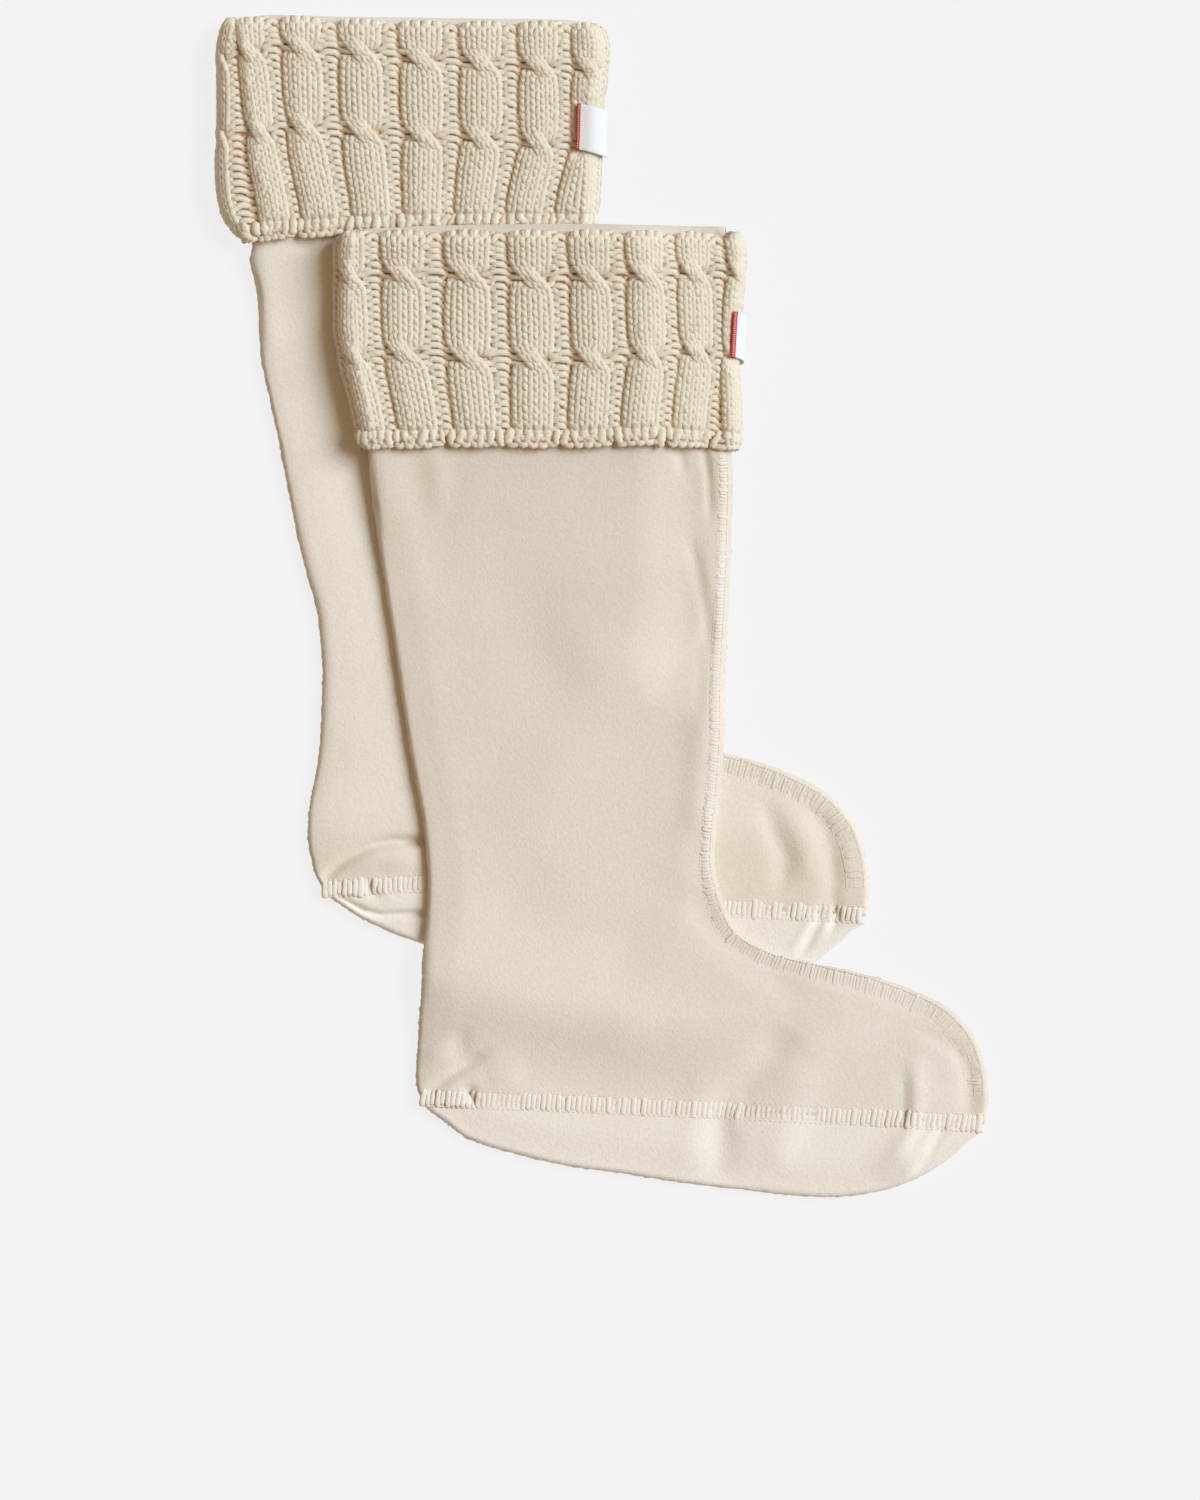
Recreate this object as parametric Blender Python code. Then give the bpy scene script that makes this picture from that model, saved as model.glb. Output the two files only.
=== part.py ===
"""A pair of boot socks laid flat, one over the other, toes to the right.

Each sock is a fleece leg and foot, a folded fleece sole, a cable-knit cuff turned down over the top of
the leg, and a small woven label round the cuff's front edge. Both socks lie on their sides. The front
sock lies over the rear one and sinks to the floor beside it.

Sizes are in millimetres in each sock's own frame: x runs from the heel to the toe and y up the leg,
from the heel end of the sole seam, and z is the height above the floor. The meshes are in metres.
"""

import math
from collections import namedtuple

import bmesh
import bpy

MM = 0.001

# Cloth
FLEECE = 2.2             # thickness of the fleece
INSIDE_GAP = 0.6         # between the two layers of a flattened leg
KNIT = 3.6               # thickness of the knit where no cable stands up
CABLE_RISE = 1.9         # how far a cable stands above the knit beside it
TAPE = 0.5               # thickness of the woven label
CLEARANCE = 0.4          # between pieces that lie on each other
SEAM_GAP = 0.35          # between the edges of the upper and the sole
LAYERS = 2 * FLEECE + INSIDE_GAP
FOLD_RADIUS = LAYERS / 2

# Where the rear sock lies, seen from the front sock
REAR_OFFSET = (-52.65, 93.6)

# Heights between which a leg sinks from the far side of its own cuff to what it lies on
LEG_LIFTED = 294.0
LEG_LANDS = 268.7

# How the front sock sinks from the rear sock's top to the floor
DRAPE_START = 12.0       # distance outside the rear sock's edge where it begins to sink
DRAPE_END = 50.0         # distance where it lies on the floor

# How a sock's near layer stands away from its far one
PUFF_EDGE = 28.0         # distance in from a fold or seam where it has risen fully
PUFF_BELOW_CUFF = 34.0   # the same below the cuff
FOLD_END_FADE = 0.15     # how much of a soft fold is left at its ends

# Cuff
CUFF_TOP = 389.0         # height of the cuff's top, where the cables are measured from
CUFF_EDGE = 7.0          # how far in from its edge a cuff has come round to its flat side
RIM_INSET = 0.04         # share of its first row by which the leg stops short of the cuff's top
RIM_FADE = 0.12          # share of a cuff's height over which its far side's higher rim evens out
CABLE_HALF = 0.36        # half the width of a cable, as a share of the cable pitch
CROSSING = 9.0           # half the height over which two strands cross
LEAN_START = 0.5         # share of the cuff's height below which the cables lean together
STRAND_OFFSET = 0.5      # of each strand from its cable's middle, in halves of a cable's width
STRAND_REACH = 0.72      # half the width of a strand, in the same measure
OVER_LIFT = 0.45         # how much higher than beside it the strand in front is at a crossing
UNDER_DIP = -0.5         # and how much lower the strand behind is, as shares of CABLE_RISE
TOP_ROUNDING = 1.3       # how much thinner the knit is at its turned top and its bound-off edge

# Mesh density
UPPER_COLUMNS = 12
END_COLUMNS = 4          # the sole's columns to one of the upper's at the heel and the toe
MIDDLE_COLUMNS = 2       # and between them
SOLE_INSET = 0.8         # how far the sole stops short of the ends of the seam
CUFF_ROWS = 23
CUFF_COLUMNS_PER_CABLE = 6
CUFF_FAR = 10
COVERED_ROWS = 7
CURVE_STEPS = 40

# The leg below the cuff: height, x of the back fold and of the front seam, and how far each is moved
# on the rear sock. Above the cuff's lower edge the leg follows the cuff.
LegRow = namedtuple("LegRow", "height back front rear_back rear_front")
LEG = [LegRow(*row) for row in (
    (283.0, -23.2, 139.9, -1.1, -8.1),
    (268.7, -22.0, 139.9, 0.6, -4.0),
    (239.4, -17.5, 139.0, -1.9, -1.8),
    (222.0, -14.9, 138.3, -0.9, -1.1),
    (203.0, -11.9, 137.1, 0.2, -0.3),
    (182.7, -9.0, 136.3, 1.3, 0.0),
    (162.0, -5.9, 136.0, 2.3, -0.6),
    (144.0, -2.7, 134.9, 3.4, 0.0),
    (127.0, 0.5, 133.1, 4.8, 0.2),
)]

# The foot: each section bends from the back fold round an elbow to meet the instep seam squarely
FootRow = namedtuple("FootRow", "back back_height elbow elbow_height front front_height "
                     "rear_back rear_front rear_front_height")
FOOT = [FootRow(*row) for row in (
    (2.3, 111.6, 102.6, 108.0, 131.9, 107.1, 5.0, 0.0, 0.0),
    (3.1, 96.8, 122.4, 86.0, 135.0, 90.9, 5.1, 0.0, 0.0),
    (2.6, 83.7, 132.3, 70.2, 141.3, 77.0, 5.1, 0.0, 0.5),
    (1.2, 71.1, 146.3, 59.4, 152.1, 68.4, 6.0, 0.0, 1.5),
    (0.4, 59.4, 162.5, 52.2, 165.6, 63.5, 5.8, 0.0, 2.5),
    (0.0, 48.6, 180.5, 43.7, 183.6, 60.1, 4.2, 0.0, 3.1),
    (-0.9, 38.7, 197.6, 36.0, 204.1, 55.1, 3.2, 0.0, 3.2),
    (-1.4, 28.8, 212.4, 27.9, 222.5, 48.6, 2.9, -0.4, 2.6),
    (-2.1, 19.8, 220.5, 18.9, 237.4, 40.8, 4.1, -0.6, 1.8),
    (-2.5, 13.0, 215.1, 10.4, 248.2, 29.0, 5.9, -0.8, 1.0),
    (-2.5, 8.1, 210.6, 5.4, 253.4, 15.3, 7.0, -1.0, 0.4),
    (-1.8, 4.5, 170.0, 0.9, 254.8, 1.8, 8.0, -1.0, 0.0),
    (-0.3, 0.9, 125.1, -3.6, 253.4, -10.8, 8.4, -0.8, 0.0),
)]
REAR_HEEL_RISE = 4.5     # how far the rear sock's lower sections rise near the heel
REAR_HEEL_RISE_AT = 0.2  # where along the section, and how wide, as shares of its length
REAR_HEEL_RISE_WIDTH = 0.13
REAR_HEEL_RISE_ROWS = 7

# The sole's fold line: share of the seam's length, x and y, and how far each is moved on the rear sock
SoleRow = namedtuple("SoleRow", "share x y rear_x rear_y")
SOLE = [SoleRow(*row) for row in (
    (0.00, 0.9, -2.7, 8.5, 2.4),
    (0.03, 5.0, -6.3, 7.6, 2.7),
    (0.07, 10.8, -10.4, 7.2, 3.2),
    (0.12, 21.4, -18.0, 5.9, 5.0),
    (0.20, 40.4, -24.0, 3.6, 3.6),
    (0.30, 65.6, -29.8, 0.9, 2.2),
    (0.40, 90.9, -33.3, 0.0, 0.8),
    (0.50, 117.0, -37.4, 0.0, 0.0),
    (0.60, 143.1, -40.5, 0.0, 0.0),
    (0.70, 168.3, -43.3, 0.0, 0.0),
    (0.78, 187.2, -43.8, 0.0, 0.0),
    (0.85, 202.7, -41.9, 0.0, 0.0),
    (0.90, 216.9, -37.9, -0.3, 0.0),
    (0.94, 229.9, -31.6, -0.6, 0.0),
    (0.97, 240.7, -23.9, -0.8, 0.0),
    (0.99, 248.0, -17.3, -1.0, 0.0),
    (1.00, 252.9, -14.0, -1.0, 0.0),
)]

# Soft folds in the near layer of the front sock: the ends of each, its half width, and its rise or dip
FoldRow = namedtuple("FoldRow", "x0 y0 x1 y1 half_width rise")
FOLDS = [FoldRow(*row) for row in (
    (127.8, 288.0, 128.7, 205.0, 6.0, -1.3),     # beside the front seam, below the cuff
    (-9.0, 290.0, -12.0, 262.0, 9.0, 1.0),       # ridge below the cuff near the back
    (30.0, 250.0, 75.0, 150.0, 22.0, -0.9),      # slant across the calf
    (85.0, 215.0, 40.0, 110.0, 20.0, 0.8),
    (20.0, 95.0, 110.0, 60.0, 18.0, -0.8),       # across the ankle towards the instep
    (140.0, 20.0, 155.0, -2.0, 13.0, -1.5),      # trough on the side of the foot
    (217.0, 8.0, 218.0, -12.0, 6.0, -1.3),       # pinch by the toe
    (10.0, 4.0, 28.0, 18.0, 6.0, -1.2),          # heel crease
)]

# The two cuffs. Edges: height, x of the back edge and of the front edge
EdgeRow = namedtuple("EdgeRow", "height back front")
FRONT_CUFF_EDGES = [EdgeRow(*row) for row in (
    (392.0, -34.5, 141.0),
    (388.0, -37.4, 144.5),
    (383.0, -39.2, 145.8),
    (373.0, -39.2, 145.8),
    (360.0, -39.2, 144.5),
    (346.0, -39.2, 143.6),
    (337.0, -37.8, 143.1),
    (328.0, -36.0, 142.7),
    (315.0, -32.4, 143.5),
    (301.0, -29.5, 144.0),
    (294.5, -28.4, 143.6),
)]
REAR_CUFF_EDGES = [EdgeRow(*row) for row in (
    (391.0, -34.9, 131.9),
    (387.0, -37.2, 135.2),
    (381.0, -38.5, 136.9),
    (365.0, -38.7, 136.1),
    (356.0, -38.5, 134.4),
    (338.0, -38.5, 133.9),
    (329.0, -39.4, 133.4),
    (320.0, -39.2, 133.0),
    (311.0, -38.3, 132.5),
    (304.0, -36.6, 131.9),
    (299.0, -34.4, 131.4),
    (295.5, -31.6, 131.2),
    (292.5, -28.3, 131.2),
)]

# Rims, from the back edge to the front edge: x, heights of the top on the near and the far side, and of
# the bound-off lower edge
RimRow = namedtuple("RimRow", "x near_top far_top bottom")
FRONT_CUFF_RIMS = [RimRow(*row) for row in (
    (-34.6, 388.1, 388.1, 293.9),
    (-24.3, 388.6, 389.4, 294.3),
    (2.3, 388.6, 390.7, 295.0),
    (30.6, 388.6, 391.4, 295.3),
    (67.1, 388.6, 391.7, 294.8),
    (103.5, 388.3, 391.2, 296.2),
    (125.0, 388.0, 391.0, 295.0),
    (143.0, 387.3, 390.8, 293.6),
)]
REAR_CUFF_RIMS = [RimRow(*row) for row in (
    (-34.6, 390.0, 390.4, 292.4),
    (-21.5, 391.4, 391.8, 293.8),
    (-13.5, 392.2, 392.6, 295.0),
    (15.8, 390.2, 391.5, 296.8),
    (51.8, 389.3, 391.1, 298.4),
    (87.8, 389.0, 390.6, 298.7),
    (114.8, 389.3, 390.4, 298.7),
    (132.8, 387.9, 388.8, 298.5),
)]

# Cables, from the back edge to the front edge: x at the top, in the middle and at the bottom of the
# cuff, and the heights of the middles of the two crossings
CableRow = namedtuple("CableRow", "top middle bottom crossing_1 crossing_2")
FRONT_CABLES = [CableRow(*row) for row in (
    (-34.6, -32.0, -24.0, 369.0, 333.0),
    (-8.8, -8.5, -1.5, 369.0, 334.0),
    (21.0, 21.0, 24.6, 369.0, 332.0),
    (49.0, 50.4, 50.2, 367.5, 331.0),
    (75.5, 77.2, 75.1, 368.0, 331.5),
    (100.4, 101.9, 98.2, 369.0, 333.0),
    (122.0, 124.0, 120.8, 370.5, 335.0),
    (142.6, 143.5, 137.7, 370.5, 335.0),
)]
REAR_CABLES = [CableRow(*row) for row in (
    (-36.0, -34.6, -29.2, 372.0, 340.0),
    (-27.5, -20.6, -13.6, 374.5, 340.5),
    (-1.9, -0.5, 7.3, 375.5, 341.5),
    (24.8, 26.5, 30.6, 374.5, 339.5),
    (52.2, 53.5, 53.0, 371.5, 337.0),
    (79.6, 79.6, 76.0, 370.0, 336.0),
    (105.3, 106.4, 98.8, 368.5, 333.5),
    (129.1, 128.3, 120.4, 368.0, 333.0),
)]

CREAM_FLEECE = (0.72, 0.64, 0.52, 1.0)
CREAM_SOLE = (0.78, 0.71, 0.59, 1.0)
OATMEAL_YARN = (0.62, 0.52, 0.37, 1.0)
LABEL_WHITE = (0.80, 0.79, 0.77, 1.0)

SOCKS = {
    "front": {
        "offset": (0.0, 0.0),
        "edges": FRONT_CUFF_EDGES,
        "cables": FRONT_CABLES,
        "rims": FRONT_CUFF_RIMS,
        "bottom": 294.5,
        "first_column": 1 / 6,
        "last_column": 6.5,
        "label_bottom": 333.3,
        "label_from_edge": 4.6,
        "label_turn": 60.0,
        "puff": 2.3,
    },
    "rear": {
        "offset": REAR_OFFSET,
        "edges": REAR_CUFF_EDGES,
        "cables": REAR_CABLES,
        "rims": REAR_CUFF_RIMS,
        "bottom": 296.5,
        "first_column": 4 / 6,
        "last_column": 6 + 5 / 6,
        "label_bottom": 333.0,
        "label_from_edge": 11.7,
        "label_turn": 20.0,
        "puff": 0.0,
    },
}
LABEL_HEIGHT = 20.7
LABEL_ROWS = 5


def ease(value, start, end):
    """0 before start, 1 after end, and a smooth rise between them."""
    share = min(max((value - start) / (end - start), 0.0), 1.0)
    return share * share * (3.0 - 2.0 * share)


def between(a, b, share):
    return a + (b - a) * share


def read(rows, name, key, value):
    """The column called name where the column called key has this value."""
    pairs = sorted((getattr(row, key), getattr(row, name)) for row in rows)
    if value <= pairs[0][0]:
        return pairs[0][1]
    for low, high in zip(pairs, pairs[1:]):
        if value <= high[0]:
            return between(low[1], high[1], (value - low[0]) / (high[0] - low[0]))
    return pairs[-1][1]


def distance_to_segment(point, start, end):
    """Distance from a point to a segment, and how far along the segment the nearest place is."""
    run = (end[0] - start[0], end[1] - start[1])
    length = run[0] ** 2 + run[1] ** 2
    along = ((point[0] - start[0]) * run[0] + (point[1] - start[1]) * run[1]) / length
    along = min(max(along, 0.0), 1.0)
    near = (start[0] + along * run[0], start[1] + along * run[1])
    return math.dist(point, near), along


def distance_outside(outline, point):
    """Distance from a point to a closed outline, and 0 inside it."""
    inside = False
    nearest = math.inf
    for start, end in zip(outline, outline[1:] + outline[:1]):
        nearest = min(nearest, distance_to_segment(point, start, end)[0])
        if (start[1] > point[1]) != (end[1] > point[1]):
            crossing = start[0] + (point[1] - start[1]) * (end[0] - start[0]) / (end[1] - start[1])
            if point[0] < crossing:
                inside = not inside
    return 0.0 if inside else nearest


def section_lines(rear):
    """The centre line of each section of the upper, from the back fold to the front seam, in order
    from below the cuff to the sole seam. Each is a list of points."""
    steps = [step / CURVE_STEPS for step in range(CURVE_STEPS + 1)]
    lines = []
    for row in LEG:
        back = row.back + rear * row.rear_back
        front = row.front + rear * row.rear_front
        lines.append([(between(back, front, u), row.height) for u in steps])
    for index, row in enumerate(FOOT):
        back = row.back + rear * row.rear_back
        front = row.front + rear * row.rear_front
        front_height = row.front_height + rear * row.rear_front_height
        risen_row = max(index + 1 + REAR_HEEL_RISE_ROWS - len(FOOT), 0)
        rise = rear * REAR_HEEL_RISE * risen_row / REAR_HEEL_RISE_ROWS
        line = []
        for u in steps:
            x = (1 - u) ** 2 * back + 2 * u * (1 - u) * row.elbow + u * u * front
            y = (1 - u) ** 2 * row.back_height + 2 * u * (1 - u) * row.elbow_height + u * u * front_height
            y += rise * math.exp(-(((u - REAR_HEEL_RISE_AT) / REAR_HEEL_RISE_WIDTH) ** 2))
            line.append((x, y))
        lines.append(line)
    return lines


def cuff_height(sock, share, far, x):
    """Height up the leg of a place on the cuff, by its share of the way down and x. far is 0 on the
    near side and 1 on the far side, whose rim stands above the near one."""
    rims = SOCKS[sock]["rims"]
    near_top = read(rims, "near_top", "x", x)
    far_top = read(rims, "far_top", "x", x)
    bottom = read(rims, "bottom", "x", x)
    return between(near_top, bottom, share) + far * (far_top - near_top) * (1.0 - ease(share, 0.0, RIM_FADE))


def cuff_flat(sock, share):
    """Where a row of the cuff leaves its rounded back edge, and where it meets its front one."""
    edges = SOCKS[sock]["edges"]
    places = []
    for name, side in (("back", -1), ("front", 1)):
        rim_x = SOCKS[sock]["rims"][0 if side < 0 else -1].x
        height = cuff_height(sock, share, 0.5, rim_x)
        places.append(read(edges, name, "height", height) - side * CUFF_EDGE)
    return places


def covered_line(sock, share, far):
    """The centre line of a section of the leg inside the cuff, at this share of the cuff's height."""
    back, front = cuff_flat(sock, share)
    line = []
    for i in range(CURVE_STEPS + 1):
        x = between(back - FOLD_RADIUS, front + FOLD_RADIUS, i / CURVE_STEPS)
        line.append((x, cuff_height(sock, share, far, x)))
    return line


def line_length(line):
    return sum(math.dist(a, b) for a, b in zip(line, line[1:]))


def point_along(line, distance):
    """The point this far along a line, and the direction of the line there."""
    left = distance
    for a, b in zip(line, line[1:]):
        step = math.dist(a, b)
        direction = ((b[0] - a[0]) / step, (b[1] - a[1]) / step)
        if left <= step:
            return (a[0] + direction[0] * left, a[1] + direction[1] * left), direction
        left -= step
    return line[-1], direction


def sole_fold(share, rear):
    """The point of the sole's fold line that belongs to this share of the seam."""
    x, y, rear_x, rear_y = (read(SOLE, name, "share", share) for name in ("x", "y", "rear_x", "rear_y"))
    return x + rear * rear_x, y + rear * rear_y


def rear_outline():
    """The rear sock's leg and foot from above, in the front sock's frame."""
    lines = [covered_line("rear", 0.5, 0.0), covered_line("rear", 1.0, 0.0)] + section_lines(1)
    outline = [line[0] for line in lines]
    outline += [sole_fold(row.share, 1) for row in SOLE]
    outline += [line[-1] for line in reversed(lines)]
    return [(x + REAR_OFFSET[0], y + REAR_OFFSET[1]) for x, y in outline]


REAR_OUTLINE = rear_outline()


def lift_over_cuff(y):
    """How far the far side of a sock's own cuff lifts the leg at this height."""
    share = (y - LEG_LANDS) / (LEG_LIFTED - LEG_LANDS)
    return (KNIT + CLEARANCE) * min(max(share, 0.0), 1.0)


def rest_height(sock, x, y):
    """Height of what a sock lies on: the floor, or for the front sock the rear one."""
    if sock == "rear":
        return 0.0
    away = distance_outside(REAR_OUTLINE, (x, y))
    top = LAYERS + CLEARANCE + lift_over_cuff(y - REAR_OFFSET[1])
    return top * (1.0 - ease(away, DRAPE_START, DRAPE_END))


def leg_height(sock, x, y):
    """Height of the upper's underside."""
    return rest_height(sock, x, y) + lift_over_cuff(y)


def fold_rise(x, y):
    """How far the soft folds lift or dent the near layer here."""
    rise = 0.0
    for fold in FOLDS:
        away, along = distance_to_segment((x, y), (fold.x0, fold.y0), (fold.x1, fold.y1))
        fade = math.sin(math.pi * between(FOLD_END_FADE, 1.0 - FOLD_END_FADE, along))
        rise += fold.rise * fade * math.exp(-((away / fold.half_width) ** 2))
    return rise


def near_height(sock, x, y, from_edge):
    """Height of the upper's and the sole's outer near side."""
    puff = SOCKS[sock]["puff"]
    free = ease(from_edge, FOLD_RADIUS, PUFF_EDGE) * ease(SOCKS[sock]["bottom"] - y, 0.0, PUFF_BELOW_CUFF)
    folds = fold_rise(x, y) if sock == "front" else 0.0
    return leg_height(sock, x, y) + LAYERS + max(puff + folds, 0.0) * free


def covered_ring(sock, share, away):
    """A ring round the leg inside the cuff, this far out from the leg's outer side."""
    back, front = cuff_flat(sock, share)
    reach = FOLD_RADIUS + away
    ring = []
    for i in range(UPPER_COLUMNS + 1):
        x = between(back, front, i / UPPER_COLUMNS)
        y = cuff_height(sock, share, 0.0, x)
        ring.append((x, y, rest_height(sock, x, y) + KNIT + CLEARANCE + LAYERS + away))
    for angle in (45, 0, -45):
        ring.append(edge_point(sock, share, 1, angle, reach, reach))
    for i in range(UPPER_COLUMNS + 1):
        x = between(front, back, i / UPPER_COLUMNS)
        y = cuff_height(sock, share, 1.0, x)
        ring.append((x, y, rest_height(sock, x, y) + KNIT + CLEARANCE - away))
    for angle in (-45, 0, 45):
        ring.append(edge_point(sock, share, -1, angle, reach, reach))
    return ring


def open_ring(sock, line):
    """Outer and inner points of a section of the upper below the cuff. They run along the near side
    from the back fold to the front seam, round that edge, and back along the far side."""
    length = line_length(line)
    flat = length - 2 * FOLD_RADIUS
    outer = []
    inner = []

    def add_fold(along, outward, angles):
        """Points round the centre of a fold, by angles that are 90 degrees at the near side."""
        (x, y), (run_x, run_y) = point_along(line, along)
        base = leg_height(sock, x, y) + FOLD_RADIUS
        for angle in angles:
            for ring, radius in ((outer, FOLD_RADIUS), (inner, FOLD_RADIUS - FLEECE)):
                reach = outward * radius * math.cos(math.radians(angle))
                rise = radius * math.sin(math.radians(angle))
                ring.append((x + run_x * reach, y + run_y * reach, base + rise))

    for i in range(UPPER_COLUMNS + 1):
        along = FOLD_RADIUS + flat * i / UPPER_COLUMNS
        x, y = point_along(line, along)[0]
        top = near_height(sock, x, y, min(along, length - along))
        outer.append((x, y, top))
        inner.append((x, y, top - FLEECE))
    add_fold(length - FOLD_RADIUS, 1, (45, 0, -45))
    for i in range(UPPER_COLUMNS + 1):
        along = length - FOLD_RADIUS - flat * i / UPPER_COLUMNS
        x, y = point_along(line, along)[0]
        under = leg_height(sock, x, y)
        outer.append((x, y, under))
        inner.append((x, y, under + FLEECE))
    add_fold(FOLD_RADIUS, -1, (-45, 0, 45))
    return outer, inner


def upper_rings(sock):
    """Rings of outer and inner points of the upper, from the top rim to the sole seam."""
    shares = [row / COVERED_ROWS for row in range(COVERED_ROWS + 1)]
    outer_rings = [covered_ring(sock, share, 0.0) for share in shares]
    inner_rings = [covered_ring(sock, share, -FLEECE) for share in shares]
    for rings in (outer_rings, inner_rings):
        pairs = zip(rings[0], rings[1])
        rings[0] = [tuple(between(a, b, RIM_INSET) for a, b in zip(*pair)) for pair in pairs]
    for line in section_lines(1 if sock == "rear" else 0):
        outer, inner = open_ring(sock, line)
        outer_rings.append(outer)
        inner_rings.append(inner)
    return outer_rings, inner_rings


def seam_places(seam):
    """The upper's corners along the sole seam as shares of its length, with more between them."""
    length = line_length(seam)
    flat = length - 2 * FOLD_RADIUS
    corners = [(FOLD_RADIUS + flat * i / UPPER_COLUMNS) / length for i in range(UPPER_COLUMNS + 1)]
    places = [SOLE_INSET / length]
    for i, (first, second) in enumerate(zip(corners, corners[1:])):
        steps = END_COLUMNS if i in (0, UPPER_COLUMNS - 1) else MIDDLE_COLUMNS
        places += [between(first, second, step / steps) for step in range(steps)]
    places += [corners[-1], 1.0 - SOLE_INSET / length]
    points = [point_along(seam, corner * length)[0] for corner in corners]
    return places, [seam[0]] + points + [seam[-1]], [0.0] + corners + [1.0]


def sole_sections(sock):
    """Sections of the sole from heel to toe: down the near side from the seam, round the fold, and
    back up the far side. Each has outer and inner points."""
    rear = 1 if sock == "rear" else 0
    seam = section_lines(rear)[-1]
    length = line_length(seam)
    places, corners, corner_shares = seam_places(seam)
    outer_sections = []
    inner_sections = []
    for share in places:
        last = next(i for i, corner in enumerate(corner_shares) if corner >= share)
        a, b = corners[last - 1], corners[last]
        along = (share - corner_shares[last - 1]) / (corner_shares[last] - corner_shares[last - 1])
        step = math.dist(a, b)
        down_x, down_y = (b[1] - a[1]) / step * SEAM_GAP, (a[0] - b[0]) / step * SEAM_GAP
        start = (between(a[0], b[0], along) + down_x, between(a[1], b[1], along) + down_y)
        end = sole_fold(share, rear)
        depth = math.dist(start, end)
        down = ((end[0] - start[0]) / depth, (end[1] - start[1]) / depth)
        reach = min(FOLD_RADIUS, 0.85 * depth)
        inner_reach = max(reach - FLEECE, 0.12)
        straight = depth - reach

        def place(distance):
            return start[0] + down[0] * distance, start[1] + down[1] * distance

        outer = []
        inner = []
        for step in range(4):
            x, y = place(straight * step / 3)
            from_edge = min(depth - straight * step / 3, length * min(share, 1 - share) + FOLD_RADIUS)
            top = near_height(sock, x, y, from_edge)
            outer.append((x, y, top))
            inner.append((x, y, top - FLEECE))
        x, y = place(straight)
        base = leg_height(sock, x, y) + FOLD_RADIUS
        for angle in (45, 0, -45):
            swing = math.cos(math.radians(angle))
            rise = math.sin(math.radians(angle))
            fx, fy = place(straight + reach * swing)
            outer.append((fx, fy, base + FOLD_RADIUS * rise))
            fx, fy = place(straight + inner_reach * swing)
            inner.append((fx, fy, base + (FOLD_RADIUS - FLEECE) * rise))
        for step in range(3, -1, -1):
            x, y = place(straight * step / 3)
            under = leg_height(sock, x, y)
            outer.append((x, y, under))
            inner.append((x, y, under + FLEECE))
        outer_sections.append(outer)
        inner_sections.append(inner)
    return outer_sections, inner_sections


def cable_place(sock, position, height):
    """x of a place across the cuff, counted in cables, at this height."""
    cables = SOCKS[sock]["cables"]
    down = (CUFF_TOP - height) / (CUFF_TOP - SOCKS[sock]["bottom"])
    index = min(int(position), len(cables) - 2)
    places = []
    for cable in (cables[index], cables[index + 1]):
        upper_part = between(cable.top, cable.middle, min(down / LEAN_START, 1.0))
        places.append(between(upper_part, cable.bottom, ease(down, LEAN_START, 1.0)))
    return between(places[0], places[1], position - index)


def cable_rise(sock, position, height):
    """How far the cable pattern stands up: two strands side by side that cross at set heights, the
    strand from the upper left passing in front, with a plain gutter between the cables."""
    cables = SOCKS[sock]["cables"]
    nearest = round(position)
    cable = cables[min(max(nearest, 0), len(cables) - 1)]
    across = (position - nearest) / CABLE_HALF
    rise = 0.0
    crossing = min((cable.crossing_1, cable.crossing_2), key=lambda middle: abs(height - middle))
    turn = ease(crossing - height, -CROSSING, CROSSING)
    over = math.sin(math.pi * turn)
    for start, lift in ((-STRAND_OFFSET, OVER_LIFT), (STRAND_OFFSET, UNDER_DIP)):
        centre = between(start, -start, turn)
        reach = abs(across - centre) / STRAND_REACH
        if reach < 1.0:
            rise = max(rise, (1.0 + lift * over) * math.cos(reach * math.pi / 2) ** 0.6)
    return CABLE_RISE * rise


def label_zone(sock, x, height):
    """1 under the label and 0 away from it: the knit is pressed flat there."""
    own = SOCKS[sock]
    edge = read(own["edges"], "front", "height", height)
    across = 1.0 - ease(edge - x, own["label_from_edge"] + 1.0, own["label_from_edge"] + 3.0)
    low = ease(height, own["label_bottom"] - 6.0, own["label_bottom"] - 4.5)
    top = own["label_bottom"] + LABEL_HEIGHT
    high = 1.0 - ease(height, top + 4.5, top + 6.0)
    return across * low * high


def cuff_levels(sock, x, y):
    """Heights of the cuff's layers: under the far side, inside it, inside the near side, on top."""
    under = rest_height(sock, x, y)
    inside = under + KNIT
    near_inside = inside + LAYERS + 2 * CLEARANCE
    return under, inside, near_inside, near_inside + KNIT


def edge_point(sock, row_share, side, angle, reach, half_height):
    """A point of the cuff's rounded edge. side is -1 at the back edge and 1 at the front edge, and the
    angle is 90 degrees at the near side."""
    far = 0.5 - 0.5 * math.sin(math.radians(angle))
    centre = cuff_flat(sock, row_share)[0 if side < 0 else 1]
    y = cuff_height(sock, row_share, far, centre)
    levels = cuff_levels(sock, centre, y)
    middle = (levels[0] + levels[3]) / 2
    return (
        centre + side * reach * math.cos(math.radians(angle)),
        y,
        middle + half_height * math.sin(math.radians(angle)),
    )


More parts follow.
